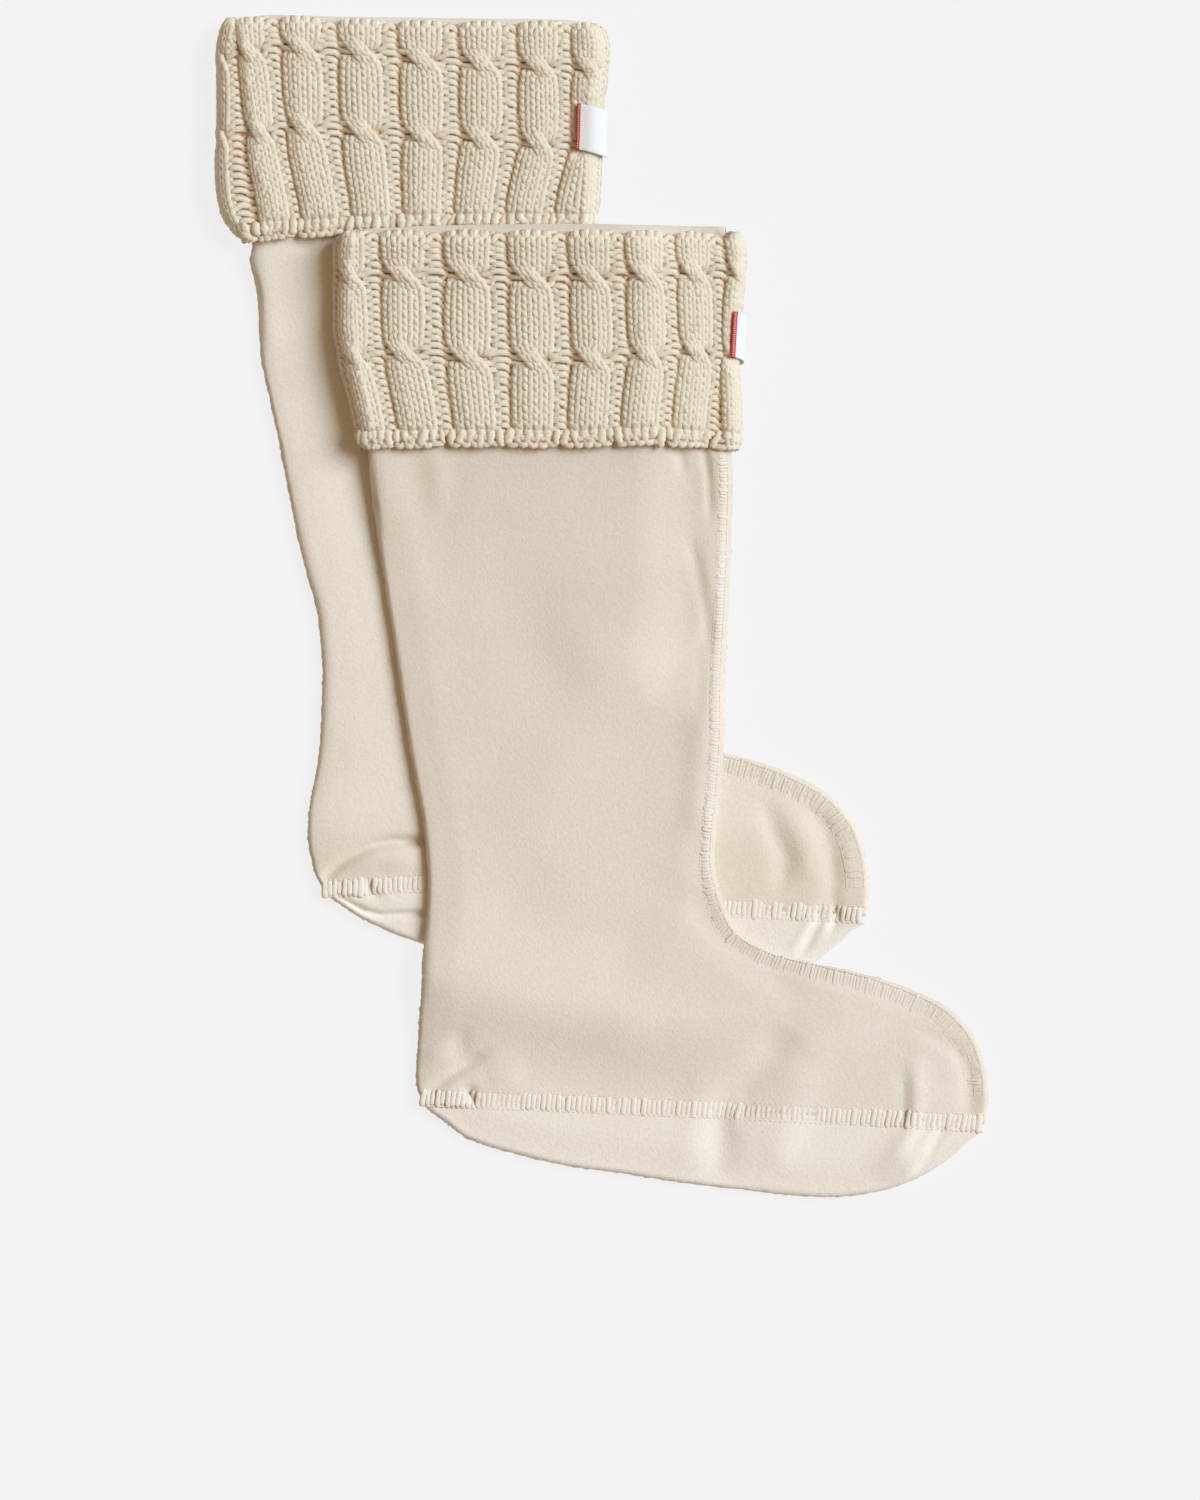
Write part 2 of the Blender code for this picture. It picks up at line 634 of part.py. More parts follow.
def cuff_outer_ring(sock, share):
    """One row of the cuff's outer side: the near side with its cables, both edges, the plain far side."""
    own = SOCKS[sock]
    thin = TOP_ROUNDING * (1.0 - ease(share, 0.0, 0.03)) + TOP_ROUNDING * ease(share, 0.97, 1.0)
    back, front = cuff_flat(sock, share)
    ring = []
    columns = round((own["last_column"] - own["first_column"]) * CUFF_COLUMNS_PER_CABLE)
    for i in range(columns + 1):
        position = own["first_column"] + i / CUFF_COLUMNS_PER_CABLE
        x = cable_place(sock, position, between(CUFF_TOP, own["bottom"], share))
        y = cuff_height(sock, share, 0.0, x)
        rise = cable_rise(sock, position, y) * (1.0 - label_zone(sock, x, y))
        rise *= 1.0 - 0.5 * ease(share, 0.93, 0.97)
        ring.append((x, y, cuff_levels(sock, x, y)[3] + rise - thin))
    half = (KNIT * 2 + LAYERS + 2 * CLEARANCE) / 2
    for step in range(7):
        angle = 90 - 30 * step
        x, y, z = edge_point(sock, share, 1, angle, CUFF_EDGE - thin, half - thin)
        position = own["last_column"] + 0.2 + 0.8 * step / 3
        rise = cable_rise(sock, position, y) * (1.0 - label_zone(sock, x, y)) if angle > 0 else 0.0
        ring.append((x, y, z + rise * math.sin(math.radians(angle))))
    for i in range(1, CUFF_FAR):
        x = between(front, back, i / CUFF_FAR)
        y = cuff_height(sock, share, 1.0, x)
        ring.append((x, y, rest_height(sock, x, y) + (thin if sock == "front" else 0.0)))
    for step in range(6, -1, -1):
        angle = 90 - 30 * step
        x, y, z = edge_point(sock, share, -1, angle, CUFF_EDGE - thin, half - thin)
        position = own["first_column"] - 0.2 - 0.8 * step / 3
        rise = cable_rise(sock, max(position, 0.0), y) if angle > 0 else 0.0
        ring.append((x, y, z + rise * math.sin(math.radians(angle))))
    return ring


def label_sections(sock):
    """Rows of the label from its lower to its upper edge, each from its near end, along the cuff and
    round its front edge. Each has outer and inner points."""
    own = SOCKS[sock]
    outer_sections = []
    inner_sections = []
    half = (KNIT * 2 + LAYERS + 2 * CLEARANCE) / 2
    for row in range(LABEL_ROWS):
        height = own["label_bottom"] + LABEL_HEIGHT * row / (LABEL_ROWS - 1)
        rim = own["rims"][-1]
        share = (rim.near_top - height) / (rim.near_top - rim.bottom)
        centre = cuff_flat(sock, share)[1]
        edge = centre + CUFF_EDGE
        sections = ([], [])
        for section, away in zip(sections, (CLEARANCE + TAPE, CLEARANCE)):
            near_end = edge - own["label_from_edge"]
            if near_end < centre:
                for i in range(3):
                    x = between(near_end, centre, i / 3)
                    section.append((x, height, cuff_levels(sock, x, height)[3] + away))
                first = 90.0
            else:
                first = math.degrees(math.acos((near_end - centre) / CUFF_EDGE))
            for i in range(7):
                angle = between(first, -own["label_turn"], i / 6)
                section.append(edge_point(sock, share, 1, angle, CUFF_EDGE + away, half + away))
        outer_sections.append(sections[0])
        inner_sections.append(sections[1])
    return outer_sections, inner_sections


def fleece_colour(name, colour, roughness):
    """A plain cloth surface in this colour."""
    material = bpy.data.materials.new(name)
    material.use_nodes = True
    shader = material.node_tree.nodes["Principled BSDF"]
    shader.inputs["Base Color"].default_value = colour
    shader.inputs["Roughness"].default_value = roughness
    shader.inputs["Metallic"].default_value = 0.0
    return material


def add_points(mesh, rows, offset):
    return [
        [mesh.verts.new(((x + offset[0]) * MM, (y + offset[1]) * MM, z * MM)) for x, y, z in row]
        for row in rows
    ]


def join_rows(mesh, rows, closed):
    """Faces between each row of points and the next."""
    for first, second in zip(rows, rows[1:]):
        count = len(first)
        for i in range(count if closed else count - 1):
            j = (i + 1) % count
            mesh.faces.new((first[i], first[j], second[j], second[i]))


def ring_sides(near, edge, far):
    """How far round a ring each of its points is, with 1 for the near side, 1 for the front edge, 1 for
    the far side and 1 for the back edge. The arguments are the numbers of steps along them."""
    places = [i / near for i in range(near)]
    places += [1 + i / edge for i in range(edge)]
    places += [2 + i / far for i in range(far)]
    places += [3 + i / edge for i in range(edge)]
    return places


def zip_rings(mesh, first, first_places, second, second_places):
    """Triangles between two closed rings that have different numbers of points, matched by how far
    round its ring each point is."""
    first_ends = first_places[1:] + [4 + first_places[0]]
    second_ends = second_places[1:] + [4 + second_places[0]]
    i = 0
    j = 0
    while i < len(first) or j < len(second):
        a = first[i % len(first)]
        b = second[j % len(second)]
        take_first = j == len(second) or (i < len(first) and first_ends[i] <= second_ends[j])
        if take_first:
            mesh.faces.new((a, first[(i + 1) % len(first)], b))
            i += 1
        else:
            mesh.faces.new((a, second[(j + 1) % len(second)], b))
            j += 1


def finish_mesh(mesh, name, material, collection):
    """An object from the mesh, with its faces pointing out."""
    bmesh.ops.recalc_face_normals(mesh, faces=mesh.faces)
    data = bpy.data.meshes.new(name)
    mesh.to_mesh(data)
    mesh.free()
    data.materials.append(material)
    data.shade_smooth()
    piece = bpy.data.objects.new(name, data)
    collection.objects.link(piece)
    return piece


def tube(name, outer, inner, offset, material, collection, places=None):
    """A wall between rings of outer and inner points, open at both ends. Rings with different numbers of
    points are matched by the places of the outer and the inner ones."""
    mesh = bmesh.new()
    outer_points = add_points(mesh, outer, offset)
    inner_points = add_points(mesh, inner, offset)
    join_rows(mesh, outer_points, True)
    join_rows(mesh, inner_points, True)
    for end in (0, -1):
        if places:
            zip_rings(mesh, outer_points[end], places[0], inner_points[end], places[1])
        else:
            join_rows(mesh, (outer_points[end], inner_points[end]), True)
    return finish_mesh(mesh, name, material, collection)


def channel(name, outer, inner, offset, material, collection):
    """A strip of cloth between sections of outer and inner points, closed along all four edges."""
    mesh = bmesh.new()
    outer_points = add_points(mesh, outer, offset)
    inner_points = add_points(mesh, inner, offset)
    join_rows(mesh, outer_points, False)
    join_rows(mesh, inner_points, False)
    for end in (0, -1):
        join_rows(mesh, (outer_points[end], inner_points[end]), False)
        outer_edge = [row[end] for row in outer_points]
        inner_edge = [row[end] for row in inner_points]
        join_rows(mesh, (outer_edge, inner_edge), False)
    return finish_mesh(mesh, name, material, collection)


def build_sock(sock, materials, collection):
    """The four pieces of one sock."""
    offset = SOCKS[sock]["offset"]
    outer, inner = upper_rings(sock)
    upper = tube(f"{sock}_sock_upper", outer, inner, offset, materials["fleece"], collection)
    outer, inner = sole_sections(sock)
    sole = channel(f"{sock}_sock_sole", outer, inner, offset, materials["sole"], collection)
    outer = [cuff_outer_ring(sock, row / CUFF_ROWS) for row in range(CUFF_ROWS + 1)]
    inner = [covered_ring(sock, row / COVERED_ROWS, CLEARANCE) for row in range(COVERED_ROWS + 1)]
    near = round((SOCKS[sock]["last_column"] - SOCKS[sock]["first_column"]) * CUFF_COLUMNS_PER_CABLE)
    outer_places = [i / (near + 0.5) for i in range(near + 1)]
    outer_places += [place for place in ring_sides(near, 6, CUFF_FAR) if place >= 1] + [3.99]
    places = (outer_places, ring_sides(UPPER_COLUMNS, 4, UPPER_COLUMNS))
    cuff = tube(f"{sock}_sock_cuff", outer, inner, offset, materials["yarn"], collection, places)
    outer, inner = label_sections(sock)
    label = channel(f"{sock}_sock_label", outer, inner, offset, materials["label"], collection)
    return [upper, sole, cuff, label]


def centre_on_origin(pieces):
    """Moves the meshes so that the pair stands on z = 0 with its box centred on the z axis."""
    points = [vertex.co for piece in pieces for vertex in piece.data.vertices]
    low = [min(point[axis] for point in points) for axis in range(3)]
    high = [max(point[axis] for point in points) for axis in range(3)]
    shift = ((low[0] + high[0]) / 2, (low[1] + high[1]) / 2, low[2])
    for piece in pieces:
        for vertex in piece.data.vertices:
            vertex.co = [vertex.co[axis] - shift[axis] for axis in range(3)]


def main():
    for thing in list(bpy.data.objects):
        bpy.data.objects.remove(thing)
    collection = bpy.data.collections.new("pair_of_boot_socks")
    bpy.context.scene.collection.children.link(collection)
    materials = {
        "fleece": fleece_colour("cream_fleece", CREAM_FLEECE, 0.95),
        "sole": fleece_colour("cream_sole_fleece", CREAM_SOLE, 0.95),
        "yarn": fleece_colour("oatmeal_yarn", OATMEAL_YARN, 0.9),
        "label": fleece_colour("white_tape", LABEL_WHITE, 0.6),
    }
    pieces = []
    for sock in SOCKS:
        pieces += build_sock(sock, materials, collection)
    centre_on_origin(pieces)


main()
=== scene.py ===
"""A pair of cream fleece boot socks with turned-down cable-knit cuffs, laid flat, one over the other."""

import math

import bpy
import numpy as np
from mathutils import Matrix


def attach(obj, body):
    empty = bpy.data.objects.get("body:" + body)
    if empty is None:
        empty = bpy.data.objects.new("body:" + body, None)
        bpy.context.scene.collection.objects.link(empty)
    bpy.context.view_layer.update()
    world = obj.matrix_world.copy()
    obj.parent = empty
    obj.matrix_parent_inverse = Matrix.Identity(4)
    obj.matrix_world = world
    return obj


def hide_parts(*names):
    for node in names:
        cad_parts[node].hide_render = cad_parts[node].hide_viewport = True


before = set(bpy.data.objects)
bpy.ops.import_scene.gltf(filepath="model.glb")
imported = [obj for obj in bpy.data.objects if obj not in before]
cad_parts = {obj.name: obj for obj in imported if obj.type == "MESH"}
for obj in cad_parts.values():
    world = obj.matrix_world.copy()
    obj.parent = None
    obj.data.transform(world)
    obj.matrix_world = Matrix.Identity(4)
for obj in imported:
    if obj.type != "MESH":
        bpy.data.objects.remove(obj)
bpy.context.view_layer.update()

# ---------------------------------------------------------------------------------------------------
# The legs and feet. Each is one piece of brushed cream fleece, folded down the back and closed by one seam
# down the front and round the toe. The front sock lies over the rear one and sinks to the floor beside it.
# Sizes are in millimetres, in each sock's own frame: x runs from the heel to the toe and y up the leg.
MM = 0.001
# The shared frame's origin and the rear sock's frame, both in the front sock's frame
PAIR_MIDDLE = (81.4045, 221.2676)
REAR_OFFSET = np.array((-52.65, 93.6))
OFFSETS = {"front": np.zeros(2), "rear": REAR_OFFSET}

FLEECE = 2.2
INSIDE_GAP = 0.6
LAYERS = 2 * FLEECE + INSIDE_GAP
FOLD_RADIUS = LAYERS / 2
CLEARANCE = 0.4
KNIT = 3.6
# The far side of a sock's own cuff lifts its leg above the first height, and the leg lies flat below the
# second. The near cloth bridges the bend there over this reach
LEG_LIFTED = 294.0
LEG_LANDS = 268.7
LANDING_REACH = 20.0
# How far from the rear sock's outline the front one starts to sink, and where it is on the floor
DRAPE_START = 12.0
DRAPE_END = 50.0
# How far from the sock's edge and below the cuff the near layer has risen to its full height
PUFF_EDGE = 17.0
PUFF_BELOW_CUFF = 34.0
# Where the folds begin on the near side, from the sock's edge and below the cuff, and on the far side
FOLDS_FROM_EDGE = (-1.5, 5.5)
FOLDS_BELOW_CUFF = (-14.0, -2.0)
FAR_FOLDS_BELOW_CUFF = (0.0, 8.0)
DEEPEST_DENT = -2.0

# The leg's back fold and front seam by height, and how far each is moved on the rear sock
LEG = np.array((
    (283, -23.2, 139.9, -1.1, -8.1),
    (268.7, -22, 139.9, 0.6, -4),
    (239.4, -17.5, 139, -1.9, -1.8),
    (222, -14.9, 138.3, -0.9, -1.1),
    (203, -11.9, 137.1, 0.2, -0.3),
    (182.7, -9, 136.3, 1.3, 0),
    (162, -5.9, 136, 2.3, -0.6),
    (144, -2.7, 134.9, 3.4, 0),
    (127, 0.5, 133.1, 4.8, 0.2),
))
# The foot's sections from the back fold round an elbow to the instep seam: back, elbow and front as x
# and height, and how far the back, the front and the front's height are moved on the rear sock
FOOT = np.array((
    (2.3, 111.6, 102.6, 108, 131.9, 107.1, 5, 0, 0),
    (3.1, 96.8, 122.4, 86, 135, 90.9, 5.1, 0, 0),
    (2.6, 83.7, 132.3, 70.2, 141.3, 77, 5.1, 0, 0.5),
    (1.2, 71.1, 146.3, 59.4, 152.1, 68.4, 6, 0, 1.5),
    (0.4, 59.4, 162.5, 52.2, 165.6, 63.5, 5.8, 0, 2.5),
    (0, 48.6, 180.5, 43.7, 183.6, 60.1, 4.2, 0, 3.1),
    (-0.9, 38.7, 197.6, 36, 204.1, 55.1, 3.2, 0, 3.2),
    (-1.4, 28.8, 212.4, 27.9, 222.5, 48.6, 2.9, -0.4, 2.6),
    (-2.1, 19.8, 220.5, 18.9, 237.4, 40.8, 4.1, -0.6, 1.8),
    (-2.5, 13, 215.1, 10.4, 248.2, 29, 5.9, -0.8, 1),
    (-2.5, 8.1, 210.6, 5.4, 253.4, 15.3, 7, -1, 0.4),
    (-1.8, 4.5, 170, 0.9, 254.8, 1.8, 8, -1, 0),
    (-0.3, 0.9, 125.1, -3.6, 253.4, -10.8, 8.4, -0.8, 0),
))
# The rear sock's lowest sections bow up near the heel: how far, where, how widely, and in how many rows
REAR_HEEL_RISE = 4.5
REAR_HEEL_RISE_AT = 0.2
REAR_HEEL_RISE_WIDTH = 0.13
REAR_HEEL_RISE_ROWS = 7
# The sole's fold line: share of the seam's length, x and y, and how far each is moved on the rear sock
SOLE = np.array((
    (0.00, 0.9, -2.7, 8.5, 2.4),
    (0.03, 5, -6.3, 7.6, 2.7),
    (0.07, 10.8, -10.4, 7.2, 3.2),
    (0.12, 21.4, -18, 5.9, 5),
    (0.20, 40.4, -24, 3.6, 3.6),
    (0.30, 65.6, -29.8, 0.9, 2.2),
    (0.40, 90.9, -33.3, 0, 0.8),
    (0.50, 117, -37.4, 0, 0),
    (0.60, 143.1, -40.5, 0, 0),
    (0.70, 168.3, -43.3, 0, 0),
    (0.78, 187.2, -43.8, 0, 0),
    (0.85, 202.7, -41.9, 0, 0),
    (0.90, 216.9, -37.9, -0.3, 0),
    (0.94, 229.9, -31.6, -0.6, 0),
    (0.97, 240.7, -23.9, -0.8, 0),
    (0.99, 248, -17.3, -1, 0),
    (1.00, 252.9, -14, -1, 0),
))
SOLE_PLACES = np.stack((SOLE[:, 0], np.arange(len(SOLE))), -1)
# The cuffs' edges by height: x of the back edge and of the front edge
CUFF_EDGES = {
    "front": np.array((
        (392, -34.5, 141),
        (388, -37.4, 144.5),
        (383, -39.2, 145.8),
        (373, -39.2, 145.8),
        (360, -39.2, 144.5),
        (346, -39.2, 143.6),
        (337, -37.8, 143.1),
        (328, -36, 142.7),
        (315, -32.4, 143.5),
        (301, -29.5, 144),
        (294.5, -28.4, 143.6),
    )),
    "rear": np.array((
        (391, -34.9, 131.9),
        (387, -37.2, 135.2),
        (381, -38.5, 136.9),
        (365, -38.7, 136.1),
        (356, -38.5, 134.4),
        (338, -38.5, 133.9),
        (329, -39.4, 133.4),
        (320, -39.2, 133),
        (311, -38.3, 132.5),
        (304, -36.6, 131.9),
        (299, -34.4, 131.4),
        (295.5, -31.6, 131.2),
        (292.5, -28.3, 131.2),
    )),
}
# The cuffs' rims by x: heights of the top on the near and on the far side, and of the lower edge
CUFF_RIMS = {
    "front": np.array((
        (-34.6, 388.1, 388.1, 293.9),
        (-24.3, 388.6, 389.4, 294.3),
        (2.3, 388.6, 390.7, 295),
        (30.6, 388.6, 391.4, 295.3),
        (67.1, 388.6, 391.7, 294.8),
        (103.5, 388.3, 391.2, 296.2),
        (125, 388, 391, 295),
        (143, 387.3, 390.8, 293.6),
    )),
    "rear": np.array((
        (-34.6, 390, 390.4, 292.4),
        (-21.5, 391.4, 391.8, 293.8),
        (-13.5, 392.2, 392.6, 295),
        (15.8, 390.2, 391.5, 296.8),
        (51.8, 389.3, 391.1, 298.4),
        (87.8, 389, 390.6, 298.7),
        (114.8, 389.3, 390.4, 298.7),
        (132.8, 387.9, 388.8, 298.5),
    )),
}
# How wide the cuff's rounded side edges are, and the share of its depth in which its two rims level out
CUFF_EDGE = 7.0
RIM_FADE = 0.12
# Soft folds in the near layers: half width, rise or dip, and the points that each runs through
FOLDS = {
    "front": (
        (1.9, -1.6, ((126.7, 296), (129.3, 276), (129.5, 260))),
        (2.6, -1.4, ((115.4, 297), (116.6, 288), (117.5, 280))),
        (2.8, -1, ((120.6, 252.5), (124.4, 236.7), (128.3, 217.8), (128.8, 203))),
        (4.5, -0.8, ((127.5, 214), (125.5, 190), (124.5, 168))),
        (6, 1, ((5.5, 296), (7, 276), (6, 262))),
        (9, 1.6, ((-16, 292), (-17, 252))),
        (12, -1, ((2, 292), (6, 250), (14, 225))),
        (20, -1.4, ((30, 250), (75, 150))),
        (20, 1.4, ((85, 215), (40, 110))),
        (18, -1.4, ((20, 95), (110, 60))),
        (14, 1, ((-22, 66), (60, 40), (110, 30))),
        (20, 0.9, ((132, 292), (132, 196))),
        (13, 0.9, ((137, 300), (136, 200), (133, 112))),
        (6.5, 1.5, ((132, 300), (130.5, 229), (127, 166), (124, 118))),
        (20, 2, ((130, 140), (126, 90))),
        (7, -1, ((118, 92), (140, 66), (172, 48))),
        (2.6, -2.6, ((29, 21), (20, 15.5), (12.3, 10.3), (6.6, 6.3), (2, 2.4))),
        (6, 0.8, ((5, 26), (8.5, 15))),
        (4.5, -1.1, ((18, 34), (17, 16))),
        (2, -2.4, ((20.6, 7.5), (22, 2), (24.5, -3))),
        (8, 0.9, ((28, 13), (48, 11))),
        (8, -2.4, ((165.6, 33), (152.1, 14), (140.9, 0), (135, -13), (133, -38))),
        (3.5, 1.2, ((142, 4), (140.5, -6), (141, -16))),
        (7, 0.5, ((128, 20), (122, -8), (120, -34))),
        (9, 1.4, ((176, 18), (164, -8), (158, -34))),
        (1.9, -1.1, ((216.8, 13), (217.4, -1), (217.3, -9), (215, -15))),
        (4.6, 1.5, ((223.5, 21), (222, 8), (222, -6), (220, -14))),
        (9, 0.8, ((230, 8), (229, -8))),
        (11, 1.6, ((222, -8), (217, -22), (206, -38))),
        (5, 1.3, ((220.5, -4), (219, -16), (212, -30))),
        (3, -0.9, ((222, 32), (231.5, 27.5), (240, 22), (245, 15), (246.3, 5), (245.8, -4), (245, -9))),
        (2, -0.6, ((236, -6), (234.7, -12), (228.4, -25), (220.3, -37))),
        (3.4, 0.9, ((232, -6), (229.7, -12.5), (223.4, -25), (215, -37))),
    ),
    "rear": (
        (2.3, -2.6, (
            (7, 4), (12.6, 9.3), (18.5, 14.4), (25.4, 18.2), (32.3, 21.2), (39.2, 22.6), (64, 22.6)
        )),
        (5, 1.4, ((20, 8), (32, 14), (52, 15))),
        (1.7, -2.7, ((13, -2.5), (18.9, -5.5), (27.7, -9.6), (34.6, -10.8), (60, -9.6))),
        (2.2, -1.6, ((27, 6), (30, 0), (34, -3))),
        (18, -1.2, ((10, 240), (40, 140))),
        (8, 0.8, ((-19, 296), (-17, 240))),
        (5, -1.3, ((-1, 300), (1, 286))),
        (14, 0.5, ((0, 180), (20, 60))),
        (4.6, -1.5, ((205.5, 43), (212, 24.8), (216.4, 14.4), (213.3, -2))),
        (5, 0.9, ((218.3, 38), (225, 18.9), (228.3, 2))),
        (4, -1.5, ((226, 37), (234, 28.1), (237, 17.8), (238.3, 4), (236, -8))),
        (4, 0.6, ((243, 22), (245, 6))),
        (2.3, -1.6, ((232.5, -5), (231.6, -13.2), (226.1, -23.6), (221.5, -30))),
        (2.6, 0.7, ((228.3, -5), (227.4, -13), (222, -23), (217, -29))),
        (4.5, -1.9, ((236, -8), (244, -16))),
        (2, -1.8, ((238, -2), (239, -11), (236, -20))),
    ),
}
# Folds on the hidden sides, where the cloth stands off what it lies on
FAR_FOLDS = {
    "front": (
        (9, 1.1, ((20, 285), (28, 235), (24, 190))),
        (7, 0.9, ((120, 262), (112, 205))),
        (4, 1.2, ((14, 14), (40, 44), (62, 52))),
        (10, 1.2, ((96, 118), (128, 60), (136, -20))),
        (3.4, 1.1, ((205, 22), (210, 2), (209, -22))),
        (3, 0.9, ((236, 20), (241, 6))),
    ),
    "rear": (
        (10, 1.2, ((96, 270), (88, 215), (102, 165))),
        (6, 0.9, ((8, 240), (16, 180))),
        (4, 1.2, ((12, 10), (34, 34), (58, 36))),
        (8, 1.1, ((140, 66), (158, 20), (160, -26))),
        (3.2, 1, ((222, 24), (228, 4), (224, -14))),
    ),
}
# How a fold fades at its ends and wavers along its length
FOLD_END = 7.0
FOLD_END_SHARE = 0.45
FOLD_UNEVEN = 0.15
FOLD_WAVE = 9.0
LINE_POINTS = 81
# How far the near layer rises by itself, and how high up the leg the cuff's lower edge is
PUFF = {"front": 0.9, "rear": 0.4}
LOWER_EDGE = {"front": 294.5, "rear": 296.5}


def ease(value, start, end):
    """0 before start, 1 after end, and a smooth rise between them."""
    share = np.clip((value - start) / (end - start), 0.0, 1.0)
    return share * share * (3.0 - 2.0 * share)


def between(a, b, share):
    return a + (b - a) * share


def read(table, column, value):
    """A table's column where its first column has this value."""
    order = np.argsort(table[:, 0])
    return np.interp(value, table[order, 0], table[order, column])


def distances_of(line):
    """How far along a line of points each of them is."""
    return np.concatenate(((0.0,), np.cumsum(np.linalg.norm(np.diff(line, axis=0), axis=1))))


def along_line(line, distances):
    """Points at these distances along a line of points, and the directions of the line there."""
    reached = distances_of(line)
    points, ahead, behind = (
        np.stack([np.interp(np.asarray(distances) + step, reached, line[:, i]) for i in range(2)], -1)
        for step in (0.0, 1.0, -1.0)
    )
    run = ahead - behind
    return points, run / np.linalg.norm(run, axis=-1, keepdims=True)


def length_of(line):
    return np.linalg.norm(np.diff(line, axis=0), axis=1).sum()


def smooth_rows(rows, places):
    """Rows between the given ones, on a curve that passes through them all."""
    rows = np.asarray(rows, float)
    padded = np.concatenate((2 * rows[:1] - rows[1:2], rows, 2 * rows[-1:] - rows[-2:-1]))
    index = np.clip(np.floor(places).astype(int), 0, len(rows) - 2)
    t = (places - index).reshape((-1,) + (1,) * (rows.ndim - 1))
    a, b, c, d = (padded[index + i] for i in range(4))
    square, cube = 2 * a - 5 * b + 4 * c - d, 3 * b - a - 3 * c + d
    return 0.5 * (2 * b + (c - a) * t + square * t**2 + cube * t**3)


def open_lines(sock):
    """The line of each section of the leg and foot below the cuff, from the back to the front."""
    rear = float(sock == "rear")
    u = np.linspace(0.0, 1.0, LINE_POINTS)
    lines = []
    for height, back, front, rear_back, rear_front in LEG:
        x = between(back + rear * rear_back, front + rear * rear_front, u)
        lines.append(np.stack((x, np.full_like(x, height)), -1))
    for i, row in enumerate(FOOT):
        back, back_height, elbow, elbow_height, front, front_height, *moves = row
        back += rear * moves[0]
        front += rear * moves[1]
        front_height += rear * moves[2]
        rise = rear * REAR_HEEL_RISE * max(i + 1 + REAR_HEEL_RISE_ROWS - len(FOOT), 0) / REAR_HEEL_RISE_ROWS
        x = (1 - u) ** 2 * back + 2 * u * (1 - u) * elbow + u * u * front
        y = (1 - u) ** 2 * back_height + 2 * u * (1 - u) * elbow_height + u * u * front_height
        y += rise * np.exp(-(((u - REAR_HEEL_RISE_AT) / REAR_HEEL_RISE_WIDTH) ** 2))
        lines.append(np.stack((x, y), -1))
    return lines


def cuff_height(sock, share, far, x):
    """Height up the leg of a place on the cuff, by its share of the way down and x."""
    near_top, far_top, bottom = (read(CUFF_RIMS[sock], i, x) for i in (1, 2, 3))
    return between(near_top, bottom, share) + far * (far_top - near_top) * (1.0 - ease(share, 0.0, RIM_FADE))


def cuff_flat(sock, share):
    """Where a row of the cuff leaves its rounded back edge, and where it meets its front one."""
    places = []
    for column, side, rim in ((1, -1, 0), (2, 1, -1)):
        height = cuff_height(sock, share, 0.5, CUFF_RIMS[sock][rim, 0])
        places.append(read(CUFF_EDGES[sock], column, height) - side * CUFF_EDGE)
    return places


def covered_line(sock, share, far):
    """The line of a section of the leg inside the cuff."""
    back, front = cuff_flat(sock, share)
    x = np.linspace(back - FOLD_RADIUS, front + FOLD_RADIUS, LINE_POINTS)
    return np.stack((x, cuff_height(sock, share, far, x)), -1)


def sole_fold(share, sock):
    """The sole's fold line at this share of the seam's length."""
    rear = float(sock == "rear")
    x, y, rear_x, rear_y = (smooth_rows(SOLE[:, i], read(SOLE_PLACES, 1, share)) for i in range(1, 5))
    return np.stack((x + rear * rear_x, y + rear * rear_y), -1)


def rear_outline():
    """The rear sock's leg and foot from above, in the front sock's frame."""
    lines = [covered_line("rear", 0.5, 0.0), covered_line("rear", 1.0, 0.0)] + open_lines("rear")
    outline = [line[0] for line in lines]
    outline += list(sole_fold(SOLE[:, 0], "rear"))
    outline += [line[-1] for line in reversed(lines)]
    return np.array(outline) + REAR_OFFSET


REAR_OUTLINE = rear_outline()


def to_segment(x, y, start, end):
    """Distance of points from a segment, and how far along it the nearest place is."""
    run_x, run_y = end[0] - start[0], end[1] - start[1]
    along = ((x - start[0]) * run_x + (y - start[1]) * run_y) / (run_x**2 + run_y**2)
    along = np.clip(along, 0.0, 1.0)
    return np.hypot(x - start[0] - along * run_x, y - start[1] - along * run_y), along


def outside_rear(x, y):
    """Distance of points from the rear sock's outline, and 0 inside it."""
    nearest = np.full(np.shape(x), np.inf)
    inside = np.zeros(np.shape(x), bool)
    for start, end in zip(REAR_OUTLINE, np.roll(REAR_OUTLINE, -1, 0)):
        nearest = np.minimum(nearest, to_segment(x, y, start, end)[0])
        if start[1] != end[1]:
            across = (start[1] > y) != (end[1] > y)
            crossing = start[0] + (y - start[1]) * (end[0] - start[0]) / (end[1] - start[1])
            inside ^= across & (x < crossing)
    return np.where(inside, 0.0, nearest)


def lift_over_cuff(y):
    """How far the far side of a sock's own cuff lifts the leg at this height."""
    return (KNIT + CLEARANCE) * np.clip((y - LEG_LANDS) / (LEG_LIFTED - LEG_LANDS), 0.0, 1.0)


def rest_height(sock, x, y):
    """Height of what a sock lies on: the floor, or for the front sock the rear one."""
    if sock == "rear":
        return np.zeros(np.shape(x))
    top = LAYERS + CLEARANCE + lift_over_cuff(y - REAR_OFFSET[1])
    return top * (1.0 - ease(outside_rear(x, y), DRAPE_START, DRAPE_END))


def landing(y):
    """How far the near cloth bridges the bend where the leg comes down from its cuff."""
    t = np.clip((y - LEG_LANDS) / LANDING_REACH, -1.0, 1.0)
    slope = (KNIT + CLEARANCE) / (LEG_LIFTED - LEG_LANDS)
    return slope * LANDING_REACH * ((t + 1.0) ** 2 / 4.0 - np.maximum(t, 0.0))


